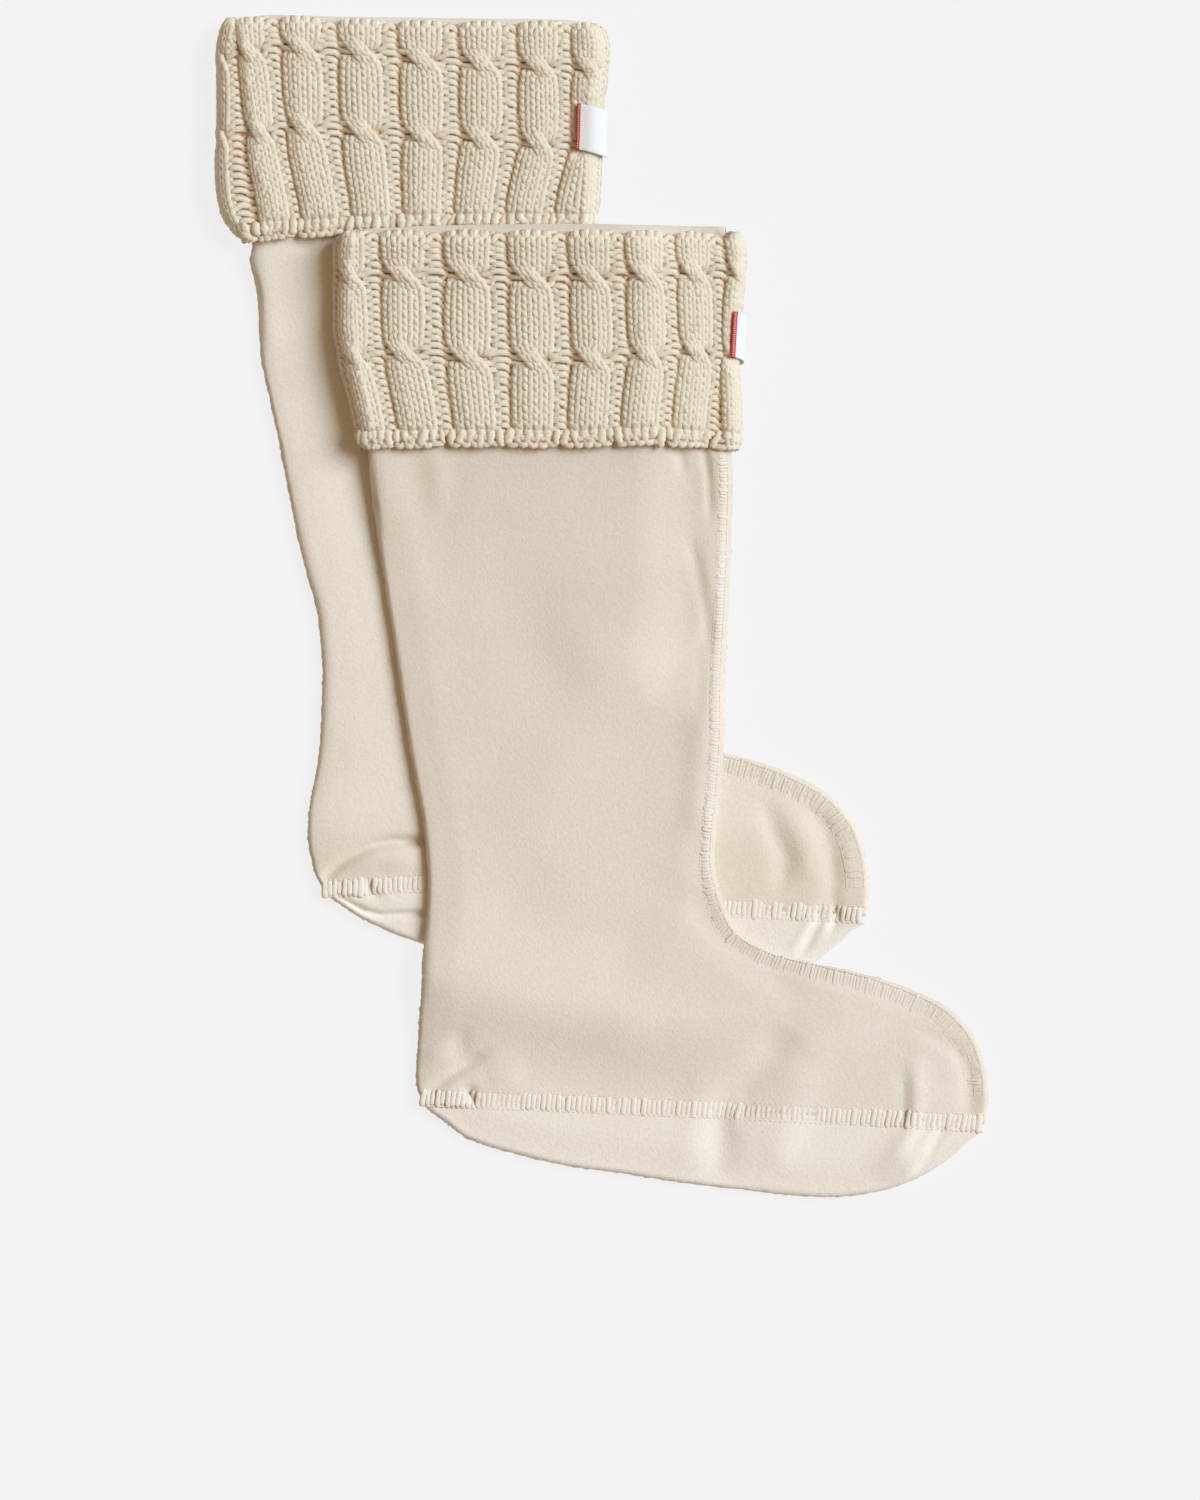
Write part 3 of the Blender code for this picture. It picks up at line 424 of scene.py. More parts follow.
def leg_height(sock, x, y):
    return rest_height(sock, x, y) + lift_over_cuff(y)


def fold_rise(folds, x, y):
    """How far soft folds lift or dent a layer."""
    rise = np.zeros(np.shape(x))
    for half_width, height, points in folds:
        line = np.array(points, float)
        lengths = np.linalg.norm(np.diff(line, axis=0), axis=1)
        nearest, reached = np.full(np.shape(x), np.inf), np.zeros(np.shape(x))
        for start, end, before, length in zip(line[:-1], line[1:], np.cumsum(lengths) - lengths, lengths):
            away, along = to_segment(x, y, start, end)
            closer = away < nearest
            nearest = np.where(closer, away, nearest)
            reached = np.where(closer, before + along * length, reached)
        ends = min(FOLD_END + half_width, FOLD_END_SHARE * lengths.sum())
        fade = ease(reached, -ends / 3, ends) * ease(lengths.sum() - reached, -ends / 3, ends)
        uneven = 1.0 - FOLD_UNEVEN + FOLD_UNEVEN * np.sin(reached / FOLD_WAVE + half_width)
        rise += height * fade * uneven * np.exp(-((nearest / half_width) ** 2))
    return rise


def near_height(sock, x, y, from_edge):
    """Height of the near layer's outer side."""
    free = ease(from_edge, FOLD_RADIUS, PUFF_EDGE) * ease(LOWER_EDGE[sock] - y, 0.0, PUFF_BELOW_CUFF)
    crease = ease(from_edge, *FOLDS_FROM_EDGE) * ease(LOWER_EDGE[sock] - y, *FOLDS_BELOW_CUFF)
    lift = PUFF[sock] * free + fold_rise(FOLDS[sock], x, y) * crease
    return leg_height(sock, x, y) + landing(y) + LAYERS + np.maximum(lift, DEEPEST_DENT)


def far_height(sock, x, y):
    """Height of the far layer's outer side, which lies flat but for its folds."""
    crease = ease(LOWER_EDGE[sock] - y, *FAR_FOLDS_BELOW_CUFF)
    return leg_height(sock, x, y) + fold_rise(FAR_FOLDS[sock], x, y) * crease


def grid_faces(rows, columns, closed, start=0, flip=False):
    """Faces of a grid of points that are numbered row by row."""
    steps = np.arange(columns if closed else columns - 1)
    first = (np.arange(rows - 1)[:, None] * columns + steps).ravel() + start
    second = (np.arange(rows - 1)[:, None] * columns + (steps + 1) % columns).ravel() + start
    faces = np.stack((first, second, second + columns, first + columns), -1)
    return faces[:, ::-1] if flip else faces


def both_sides(outer, inner):
    return np.concatenate((outer.reshape(-1, 3), inner.reshape(-1, 3)))


def tube_wall(outer, inner):
    """Points and faces of a thick tube from the rings of points of its outer and its inner side."""
    ring = outer.shape[1]
    start = len(outer) * ring
    last, inner_last = start - ring, start + (len(inner) - 1) * ring
    faces = [grid_faces(len(outer), ring, True), grid_faces(len(inner), ring, True, start, True)]
    i = np.arange(ring)
    j = (i + 1) % ring
    faces.append(np.stack((i, j, start + j, start + i), -1)[:, ::-1])
    faces.append(np.stack((last + i, last + j, inner_last + j, inner_last + i), -1))
    return both_sides(outer, inner), faces


def new_piece(sock, name, shape, finish, lowest):
    """A piece of a sock from points in millimetres, none lower than this, and groups of faces with equal
    numbers of corners."""
    points, faces = shape
    place = np.array(points, float)
    place[:, 2] = np.maximum(place[:, 2], lowest)
    place[:, :2] += OFFSETS[sock] - PAIR_MIDDLE
    corners = np.concatenate([group.ravel() for group in faces])
    counts = np.concatenate([np.full(len(group), group.shape[1]) for group in faces])
    starts = np.concatenate(((0,), np.cumsum(counts)[:-1]))
    name = f"{sock}_sock_{name}"
    mesh = bpy.data.meshes.new(name)
    mesh.vertices.add(len(place))
    mesh.vertices.foreach_set("co", (place * MM).ravel())
    mesh.loops.add(len(corners))
    mesh.loops.foreach_set("vertex_index", corners.astype(np.int32))
    mesh.polygons.add(len(counts))
    mesh.polygons.foreach_set("loop_start", starts.astype(np.int32))
    mesh.update(calc_edges=True)
    mesh.validate()
    mesh.shade_smooth()
    mesh.materials.append(finish.material)
    piece = bpy.data.objects.new(name, mesh)
    bpy.context.scene.collection.objects.link(piece)
    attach(piece, "root")
    return piece


def mark(piece, name, values):
    """Keeps a value for each point of a piece, which its finish reads."""
    layer = piece.data.attributes.new(name, "FLOAT", "POINT")
    layer.data.foreach_set("value", np.asarray(values, np.float32))


class Wire:
    """A value in a finish. Sums are written with it as with a number."""

    def __init__(self, finish, socket):
        self.finish = finish
        self.socket = socket

    def sum(self, operation, first, second):
        return self.finish.node("ShaderNodeMath", {"operation": operation}, {0: first, 1: second})

    def __add__(self, other):
        return self.sum("ADD", self, other)

    def __radd__(self, other):
        return self.sum("ADD", other, self)

    def __sub__(self, other):
        return self.sum("SUBTRACT", self, other)

    def __rsub__(self, other):
        return self.sum("SUBTRACT", other, self)

    def __mul__(self, other):
        return self.sum("MULTIPLY", self, other)

    def __rmul__(self, other):
        return self.sum("MULTIPLY", other, self)


class Finish:
    """A node material. Fixed settings go straight to the shader's sockets."""

    def __init__(self, name, **fixed):
        self.material = bpy.data.materials.new(name)
        self.material.use_nodes = True
        self.tree = self.material.node_tree
        self.shader = self.tree.nodes["Principled BSDF"]
        for socket, value in fixed.items():
            self.shader.inputs[socket.replace("_", " ")].default_value = value
        self.place = self.node("ShaderNodeTexCoord", {}, {}, "Object")

    def node(self, kind, settings, sockets, output=0):
        """The output of a new node. Its settings are set first, then its sockets are set or linked."""
        node = self.tree.nodes.new(kind)
        for name, value in settings.items():
            setattr(node, name, value)
        for name, value in sockets.items():
            if isinstance(value, Wire):
                self.tree.links.new(value.socket, node.inputs[name])
            else:
                node.inputs[name].default_value = value
        return Wire(self, node.outputs[output])

    def noise(self, size, detail, roughness, stretch=None):
        """Soft noise from 0 to 1 with features of this size in millimetres."""
        place = self.place
        if stretch:
            place = self.node("ShaderNodeVectorMath", {"operation": "MULTIPLY"}, {0: place, 1: stretch})
        sockets = {"Vector": place, "Scale": 1.0 / (size * MM), "Detail": detail, "Roughness": roughness}
        return self.node("ShaderNodeTexNoise", {}, sockets, "Fac")

    def fade(self, value, low, high, to_low=0.0, to_high=1.0):
        """A value mapped smoothly from one range to another, and held at its ends."""
        sockets = {"Value": value, "From Min": low, "From Max": high, "To Min": to_low, "To Max": to_high}
        return self.node("ShaderNodeMapRange", {"interpolation_type": "SMOOTHSTEP"}, sockets)

    def blend(self, factor, first, second, mode="MIX"):
        """A colour between two colours."""
        settings = {"data_type": "RGBA", "blend_type": mode}
        return self.node("ShaderNodeMix", settings, {0: factor, 6: first, 7: second}, 2)

    def marked(self, name):
        """The value that the piece's points were marked with under this name."""
        return self.node("ShaderNodeAttribute", {"attribute_name": name}, {}, "Fac")

    def bump(self, height, distance, strength):
        """A surface normal from a height from 0 to 1, which stands for this distance in millimetres."""
        sockets = {"Height": height, "Distance": distance * MM, "Strength": strength}
        return self.node("ShaderNodeBump", {}, sockets, "Normal")

    def wear(self, **wires):
        """Links what changes over the surface to the shader."""
        for name, wire in wires.items():
            self.tree.links.new(wire.socket, self.shader.inputs[name.replace("_", " ")])


PLAIN_NAP = (1.0, 1.0, 1.0, 1.0)
# Darker over one span of heights: on the rear sock's lowest part this is painted shade
DARKER_TONE_AND_SHADE = (0.945, 0.925, 0.90, 1.0)
# Painted shade on the rounded folds and the strips of the near side beside them
FOLD_PAINTED_SHADE = (0.905, 0.88, 0.855, 1.0)


def brushed_fleece(name, pale, deep, darker_span):
    """Fleece: a close mat of fine fibres that clump a little and lie in patches, with a soft sheen. Its
    colour is a little darker over one span of heights, told by where that starts and is full, and painted
    shade darkens its rounded folds and the strips beside them."""
    fleece = Finish(name, Sheen_Weight=0.2, Sheen_Roughness=0.55, Specular_IOR_Level=0.12)
    clumps = fleece.noise(1.5, 3.0, 0.6)
    fibres = fleece.noise(0.5, 2.0, 0.6, (1.0, 0.7, 1.0))
    patches = fleece.noise(38.0, 2.0, 0.45)
    tone = fleece.fade(clumps * 0.5 + fibres * 0.2 + patches * 0.3, 0.33, 0.67)
    height = fleece.node("ShaderNodeSeparateXYZ", {}, {0: fleece.place}, 1)
    # Darker over the given span of heights, which on the rear sock is painted shade
    darker = fleece.fade((height - darker_span[0] * MM) * (1.0 / (darker_span[1] - darker_span[0]) / MM), 0.0, 1.0)
    tone_and_painted_shade = fleece.blend(darker, PLAIN_NAP, DARKER_TONE_AND_SHADE)
    # Painted shade on the points marked as turned: the rounded folds and the strips beside them
    tone_and_painted_shade = fleece.blend(fleece.marked("turned"), tone_and_painted_shade, FOLD_PAINTED_SHADE)
    fleece.wear(
        Base_Color=fleece.blend(1.0, fleece.blend(tone, deep, pale), tone_and_painted_shade, "MULTIPLY"),
        Roughness=fleece.fade(patches, 0.3, 0.7, 0.86, 0.97),
        Normal=fleece.bump(clumps * 0.65 + fibres * 0.35, 0.34, 0.8),
    )
    return fleece


RIM_ABOVE_KNIT = 1.2
RIM_UNDER_KNIT = 3.6
COVERED_LINES = 8


def upper_lines(sock):
    """The near and the far line of every section of the leg and foot, from the top rim down."""
    shares = np.linspace(0.0, 1.0, COVERED_LINES)
    near = [covered_line(sock, share, 0.0) for share in shares] + open_lines(sock)
    far = [covered_line(sock, share, 1.0) for share in shares] + open_lines(sock)
    near[0] = near[0] - (0.0, RIM_UNDER_KNIT)
    far[0] = far[0] + (0.0, RIM_ABOVE_KNIT)
    return near, far


NEAR_COLUMNS = 112
FAR_COLUMNS = 34
TURN = np.radians(np.linspace(90.0, -90.0, 11)[1:-1])
ROW_STEP = 1.75


def even_places(rows):
    """Places along rows of points that are one row step apart in the middle of the rows, on the whole."""
    middle, outer = np.asarray(rows)[:, len(rows[0]) // 2], np.asarray(rows)[:, -1]
    gaps = np.maximum(*(np.linalg.norm(np.diff(side, axis=0), axis=1) for side in (middle, outer)))
    reached = np.concatenate(((0.0,), np.cumsum(gaps)))
    count = int(reached[-1] / ROW_STEP) + 1
    return np.interp(np.linspace(0.0, reached[-1], count), reached, np.arange(len(rows)))


def upper_rows(sock):
    """Section rows of the leg and foot: near points, far points, and the lines' ends and directions."""
    near, far = upper_lines(sock)
    rows = {"near": [], "far": [], "folds": [], "runs": []}
    for near_line, far_line in zip(near, far):
        for key, line, columns in (("near", near_line, NEAR_COLUMNS), ("far", far_line, FAR_COLUMNS)):
            length = length_of(line)
            rows[key].append(along_line(line, np.linspace(FOLD_RADIUS, length - FOLD_RADIUS, columns))[0])
        middle_line = (near_line + far_line) / 2
        ends = (FOLD_RADIUS, length_of(middle_line) - FOLD_RADIUS)
        points, runs = along_line(middle_line, ends)
        rows["folds"].append(points)
        rows["runs"].append(runs)
    places = even_places(rows["near"])
    return {key: smooth_rows(value, places) for key, value in rows.items()}


PILE_FUZZ = 0.2
pile_noise = np.random.default_rng(3)


def upper_wall(sock, rows, inner):
    """Rings of points round the outer or the inner side of the leg and foot."""
    near, far = rows["near"], rows["far"]
    length = np.linalg.norm(np.diff(near, axis=1), axis=-1)
    reached = np.concatenate((np.zeros((len(near), 1)), np.cumsum(length, axis=1)), axis=1)
    from_edge = np.minimum(reached, reached[:, -1:] - reached) + FOLD_RADIUS
    top = near_height(sock, near[..., 0], near[..., 1], from_edge) - inner * FLEECE
    under = far_height(sock, far[..., 0], far[..., 1]) + inner * FLEECE
    near_side = np.dstack((near, top))
    far_side = np.dstack((far, under))[:, ::-1]
    radius = FOLD_RADIUS - inner * FLEECE
    folds = []
    for end, outward, angles in ((1, 1, TURN), (0, -1, -TURN)):
        centre, run = rows["folds"][:, end], rows["runs"][:, end]
        fuzz = radius + (1 - inner) * pile_noise.normal(0.0, PILE_FUZZ, (len(centre), len(angles)))
        flat = centre[:, None] + outward * (fuzz * np.cos(angles))[..., None] * run[:, None]
        base = leg_height(sock, centre[:, 0], centre[:, 1]) + FOLD_RADIUS
        rise = base[:, None] + radius * np.sin(angles)
        folds.append(np.dstack((flat, rise)))
    return np.concatenate((near_side, folds[0], far_side, folds[1]), axis=1)


INNER_ROWS = 60
RIM_LIFT = 0.4
# Columns of the near side beside each fold that get painted shade, by the turned mark
EDGE_SHADE_COLUMNS = 4.0
FLEECE_OFF_FLOOR = 0.02


def make_upper(sock, finish):
    """The fleece leg and foot with its near layer, its two folds, its far layer and their inner sides."""
    rows = upper_rows(sock)
    outer = upper_wall(sock, rows, 0)
    inner = upper_wall(sock, rows, 1)[np.unique(np.linspace(0, len(outer) - 1, INNER_ROWS).astype(int))]
    for wall in (outer, inner):
        wall[0, :, 1] += RIM_LIFT
    shape = tube_wall(outer, inner)
    upper = new_piece(sock, "fleece_leg_and_foot", shape, finish, FLEECE_OFF_FLOOR)
    # The turned mark, for painted shade: 1 on the folds and the near side's edge columns, 0 elsewhere
    across = np.arange(NEAR_COLUMNS)
    near_edge_shade = 1.0 - ease(np.minimum(across, across[::-1]), 0.0, EDGE_SHADE_COLUMNS)
    fold = np.ones(len(TURN))
    ring_fold_shade = np.concatenate((near_edge_shade, fold, np.zeros(FAR_COLUMNS), fold))
    mark(upper, "turned", np.concatenate((np.tile(ring_fold_shade, len(outer)), np.zeros(inner.size // 3))))
    return upper


# The rear fleece is darker across the lowest part of the rear sock's foot, which is painted shade; the front
# fleece darkens up the leg
leg_fleece = {
    "front": brushed_fleece(
        "cream_fleece", (0.765, 0.70, 0.60, 1.0), (0.70, 0.635, 0.53, 1.0), (-170.0, 40.0)
    ),
    "rear": brushed_fleece(
        "pale_cream_fleece", (0.79, 0.73, 0.625, 1.0), (0.73, 0.665, 0.555, 1.0), (-86.0, -112.0)
    ),
}
for sock in ("front", "rear"):
    make_upper(sock, leg_fleece[sock])
    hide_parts(f"{sock}_sock_upper")

# ---------------------------------------------------------------------------------------------------
# The soles. Each is one long oval of the same fleece, folded lengthwise as the sock lies on its side,
# and sewn to the lower edge of the leg and foot all round.
SEAM_GAP = 0.35
SEAM_END = 0.8
SOLE_COLUMNS = 170
SOLE_NEAR = 26
SOLE_FAR = 10
EVEN_SHARE = 0.6
TURN_SHARE = 0.85
NARROWEST_TURN = 0.12


def sole_walls(sock):
    """Sections of the sole from heel to toe, each down the near side, round the fold and back."""
    seam = open_lines(sock)[-1]
    length = length_of(seam)
    even = np.linspace(0.0, 1.0, SOLE_COLUMNS)
    shares = between(0.5 - 0.5 * np.cos(np.pi * even), even, EVEN_SHARE)
    shares = between(SEAM_END / length, 1.0 - SEAM_END / length, shares)
    start, run = along_line(seam, shares * length)
    start = start + np.stack((run[:, 1], -run[:, 0]), -1) * SEAM_GAP
    end = sole_fold(shares, sock)
    depth = np.linalg.norm(end - start, axis=1)
    down = (end - start) / depth[:, None]
    reach = np.minimum(FOLD_RADIUS, TURN_SHARE * depth)
    straight = depth - reach
    side_edge = length * np.minimum(shares, 1.0 - shares) + FOLD_RADIUS
    centre = start + down * straight[:, None]
    base = leg_height(sock, centre[:, 0], centre[:, 1]) + FOLD_RADIUS
    walls = []
    for inner in (0, 1):
        sides = []
        for count in (SOLE_NEAR, SOLE_FAR):
            down_side = straight[:, None] * np.linspace(0.0, 1.0, count)
            flat = start[:, None] + down[:, None] * down_side[..., None]
            if count == SOLE_NEAR:
                from_edge = np.minimum(depth[:, None] - down_side, side_edge[:, None])
                height = near_height(sock, flat[..., 0], flat[..., 1], from_edge) - inner * FLEECE
            else:
                height = far_height(sock, flat[..., 0], flat[..., 1]) + inner * FLEECE
            sides.append(np.dstack((flat, height)))
        fuzz = (1 - inner) * pile_noise.normal(0.0, PILE_FUZZ, (len(reach), len(TURN)))
        swing = (np.maximum(reach - inner * FLEECE, NARROWEST_TURN)[:, None] + fuzz) * np.cos(TURN)
        flat = centre[:, None] + down[:, None] * swing[..., None]
        rise = base[:, None] + (FOLD_RADIUS - inner * FLEECE) * np.sin(TURN)
        walls.append(np.concatenate((sides[0], np.dstack((flat, rise)), sides[1][:, ::-1]), axis=1))
    return walls


def sheet_wall(outer, inner, flip):
    """Points and faces of a thick sheet from the rows of points of its outer and its inner side."""
    rows, columns = outer.shape[:2]
    start = rows * columns
    faces = [grid_faces(rows, columns, False, 0, flip), grid_faces(rows, columns, False, start, not flip)]
    for first, step, count, turned in (
        (0, 1, columns, True),
        (start - columns, 1, columns, False),
        (0, columns, rows, False),
        (columns - 1, columns, rows, True),
    ):
        edge = first + step * np.arange(count)
        rim = np.stack((edge[:-1], edge[1:], edge[1:] + start, edge[:-1] + start), -1)
        faces.append(rim[:, ::-1] if turned != flip else rim)
    return both_sides(outer, inner), faces


sole_fleece = brushed_fleece(
    "cream_sole_fleece", (0.825, 0.77, 0.68, 1.0), (0.76, 0.70, 0.605, 1.0), (400.0, 500.0)
)
for sock in ("front", "rear"):
    shape = sheet_wall(*sole_walls(sock), True)
    new_piece(sock, "fleece_sole", shape, sole_fleece, FLEECE_OFF_FLOOR)
    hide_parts(f"{sock}_sock_sole")

# ---------------------------------------------------------------------------------------------------
# The seams. Each is a flatlock seam in cream thread: close slanted stitches cross the joint, and each row
# of them ends in a line of small loops. One joins the sole all round, the other closes the leg in front.


def tube_rings(path, radii, sides, flatness):
    """Rings of points round a path, pressed flatter than round by this factor."""
    run = np.gradient(path, axis=0)
    run /= np.linalg.norm(run, axis=1, keepdims=True) + 1e-9
    side = np.cross(run, (0.0, 0.0, 1.0))
    side /= np.linalg.norm(side, axis=1, keepdims=True) + 1e-9
    over = np.cross(side, run)
    angles = np.linspace(0.0, 2 * np.pi, sides, endpoint=False)
    aside, above = np.cos(angles)[None, :, None], flatness * np.sin(angles)[None, :, None]
    ring = aside * side[:, None] + above * over[:, None]
    return path[:, None] + ring * np.broadcast_to(radii, len(path))[:, None, None]


STRANDS_OFF_FLOOR = 0.03


class Strands:
    """Many strands of yarn or thread that are joined in one mesh, marked with each point's depth in the
    cloth: 0 at the surface and 1 deep down. Their finishes paint shade by it, browner deeper down."""

    def __init__(self):
        self.points = []
        self.shade_depths = []
        self.quads = []
        self.ends = {}
        self.count = 0

    def add(self, path, radii, sides, rise, outward=(0.0, 0.0, 1.0), deep=-0.8, open_air=0.9, flatness=1.0):
        """Adds a strand. Rise is its height over the cloth, whose outward direction is given, and deep and
        open_air are the heights where a point counts as deep in the cloth and as on its surface, for its
        painted shade."""
        rings = tube_rings(path, radii, sides, flatness)
        self.quads.append(grid_faces(len(rings), sides, True, self.count))
        around = np.arange(sides)
        for end in (around[::-1] + self.count, around + self.count + (len(rings) - 1) * sides):
            self.ends.setdefault(sides, []).append(end)
        around_path = rings - path[:, None]
        height = np.broadcast_to(rise, len(path))[:, None]
        height = height + np.sum(around_path * np.broadcast_to(outward, path.shape)[:, None], -1)
        self.shade_depths.append(1.0 - ease(height, deep, open_air).ravel())
        self.points.append(rings.reshape(-1, 3))
        self.count += len(rings) * sides

    def piece(self, sock, name, finish, slot):
        faces = [np.concatenate(self.quads)] + [np.array(group) for group in self.ends.values()]
        shape = np.concatenate(self.points), faces
        piece = new_piece(sock, name, shape, finish, STRANDS_OFF_FLOOR)
        # The depth mark that the finishes paint shade by
        mark(piece, "depth", np.concatenate(self.shade_depths))
        return piece


# Browner painted shade for thread down between the stitches
THREAD_PAINTED_SHADE = (0.66, 0.55, 0.41, 1.0)


def sewing_thread(name, light, shade):
    """Cream thread, spun of two plies, with painted shade, browner, down between the stitches."""
    thread = Finish(name, Roughness=0.75, Sheen_Weight=0.2, Specular_IOR_Level=0.3)
    plies = thread.noise(0.5, 2.0, 0.5)
    spun = thread.blend(thread.fade(plies, 0.3, 0.7), shade, light)
    thread.wear(
        Base_Color=thread.blend(thread.marked("depth") * 0.4, spun, THREAD_PAINTED_SHADE),
        Normal=thread.bump(plies, 0.12, 0.7),
    )
    return thread


stitch_noise = np.random.default_rng(7)
STITCH_FLATNESS = 0.3
STITCH_RADIUS = 0.66
STITCH_UNEVEN = (0.16, 0.36, 0.06)
STITCH_DRIFT = 0.45
DRIFT_STITCHES = 9
STITCH_TIP = 0.62
STITCH_END_DIP = 0.18
SUNK_TOP = 0.05
PLUMP_TOP = 0.34
LAID_RADIUS = 0.34
LAID_RISE = -0.05
BEAD_RADII = (0.04, 0.28)
BEAD_RISE = 0.14
BEAD_SUNK = 0.12
BEAD_FLATNESS = 0.6
LINE_END = 0.3


def flatlock(strands, sock, line, sewn, pitch, slant, form, edge_side):
    """Flat slanted stitches side by side across a seam, over a laid thread that closes the joint, and a
    row of small beads of thread along each of the seam's edges. Edge side is 1 where the sock's edge runs
    along the seam, on its left, and 0 where the edge is only met at the seam's ends."""
    length = length_of(line)

    def on_cloth(distance, across):
        """Flat places this far across the seam, and the height of the cloth there."""
        points, run = along_line(line, np.clip(distance, LINE_END, length - LINE_END))
        flat = points + np.stack((-run[:, 1], run[:, 0]), -1) * across[:, None]
        from_edge = form(sock, distance, length)[1] - edge_side * across
        return flat, near_height(sock, flat[:, 0], flat[:, 1], from_edge)

    count = int(sewn / pitch)
    t = np.linspace(-1.0, 1.0, 8)
    marks = np.arange(0, count + DRIFT_STITCHES, DRIFT_STITCHES)
    drift = np.interp(np.arange(count), marks, stitch_noise.normal(0.0, STITCH_DRIFT, len(marks)))
    for number in range(count):
        spread, lean, lift = stitch_noise.normal(0.0, STITCH_UNEVEN)
        across = t * (form(sock, (number + 0.5) * pitch, length)[0] / 2) * (1.0 + 0.6 * spread)
        distance = (number + 0.5 + 0.35 * spread) * pitch + (slant + lean + drift[number]) * t / 2
        flat, height = on_cloth(distance, across)
        radii = pitch * STITCH_RADIUS * between(STITCH_TIP, 1.0, 1.0 - t**6) * (1.0 + spread / 2)
        top = between(SUNK_TOP, PLUMP_TOP, form(sock, distance[0], length)[2]) + lift
        rise = top - pitch * STITCH_RADIUS * STITCH_FLATNESS - STITCH_END_DIP * t**4
        path = np.column_stack((flat, height + rise))
        strands.add(path, radii, 6, rise, deep=-0.6, open_air=0.1, flatness=STITCH_FLATNESS)
    share = np.linspace(0.0, 1.0, count * 4 + 1)
    bead = np.abs(np.sin(np.pi * share * count))
    for edge in (-1, 0, 1):
        across = edge * form(sock, share * sewn, length)[0] / 2 * (0.93 + 0.07 * bead)
        flat, height = on_cloth(share * sewn, across)
        rise = BEAD_RISE * bead - BEAD_SUNK if edge else np.full(len(share), LAID_RISE)
        radii = BEAD_RADII[0] + BEAD_RADII[1] * bead**2 if edge else np.full(len(share), LAID_RADIUS)
        path = np.column_stack((flat, height + rise))
        strands.add(path, radii, 4, rise + 0.3, deep=-0.9, open_air=-0.1, flatness=BEAD_FLATNESS)


# How plump the sole seam's stitches stand along it, by distance from the heel: flat parts sink in the nap
PLUMP = {
    "front": np.array(((0, 1.5), (9, 1.1), (18, 0.8), (24, 0.3), (40, 0.3), (48, 0.9), (110, 0.8), (128, 0.6),
                       (150, 0.35), (172, 0.4), (190, 0.8), (216, 1.1), (226, 0.5), (240, 0.6), (256, 1.4))),
    "rear": np.array(((0, 1.5), (9, 1.0), (20, 0.9), (42, 0.9), (60, 0.4), (190, 0.8), (205, 0.4), (215, 1.0),
                      (228, 0.4), (240, 1.2), (256, 1.3))),
}
SOLE_SEAM_WIDTH = 7.8
SOLE_PITCH = 2.25
SOLE_SLANT = 0.9
FRONT_SEAM_WIDTH = (4.4, 8.0)
FRONT_INSET = (4.4, 6.2)
FRONT_WIDENS = (0.46, 0.70)
FRONT_PLUMP = ((0.0, 0.5, 0.62, 0.80, 0.9, 1.0), (0.5, 0.5, 0.45, 0.4, 0.3, 0.0))
FRONT_PITCH = 1.5
FRONT_SLANT = 0.3
FRONT_UNSEWN = 12.0
FINE_LINES = 400


def sole_form(sock, distance, length):
    """At a distance along the sole seam: its width, how far in from the sock's edge it is, and how plump
    its stitches stand."""
    from_edge = np.minimum(distance, length - distance) + FOLD_RADIUS
    return SOLE_SEAM_WIDTH, from_edge, np.interp(distance, *PLUMP[sock].T)


def front_form(_, distance, length):
    """The same for the front seam, which widens where it turns over the foot."""
    share = distance / length
    wide = ease(share, *FRONT_WIDENS)
    return between(*FRONT_SEAM_WIDTH, wide), between(*FRONT_INSET, wide), np.interp(share, *FRONT_PLUMP)


def front_seam_line(sock):
    """The middle of the front seam, from the cuff down to the toe."""
    near_lines = upper_lines(sock)[0]
    fine = smooth_rows(near_lines, np.linspace(COVERED_LINES - 1, len(near_lines) - 1, FINE_LINES))
    reached = distances_of(fine[:, -1])
    insets = front_form(sock, reached, reached[-1])[1]
    return np.array([along_line(line, (length_of(line) - inset,))[0][0] for line, inset in zip(fine, insets)])


sole_thread = sewing_thread("cream_sole_thread", (0.81, 0.75, 0.65, 1.0), (0.74, 0.675, 0.57, 1.0))
# The front seam's thread is darker than the sole's by painted shade, as it faces the light more
front_thread_painted_shade = sewing_thread("cream_seam_thread_painted_shade", (0.735, 0.675, 0.58, 1.0), (0.67, 0.605, 0.505, 1.0))
for sock in ("front", "rear"):
    strands = Strands()
    seam = open_lines(sock)[-1]
    flatlock(strands, sock, seam, length_of(seam), SOLE_PITCH, SOLE_SLANT, sole_form, 0)
    sole_seam = strands.piece(sock, "sole_seam", sole_thread, "sole_fleece")
    strands = Strands()
    seam = front_seam_line(sock)
    flatlock(strands, sock, seam, length_of(seam) - FRONT_UNSEWN, FRONT_PITCH, FRONT_SLANT, front_form, 1)
    front_seam = strands.piece(sock, "front_seam", front_thread_painted_shade, "fleece")

# ---------------------------------------------------------------------------------------------------
# The cuffs. Each is a tube of chunky knitting, sewn to the top rim and turned down over the leg: plain
# cables four stitches wide that cross twice, with two purl stitches between them and a bumpy cast-off
# edge. A thin ground behind the yarn stands for the knitting's inner face, in a colour of painted shade.
CUFF_TOP = 389.0
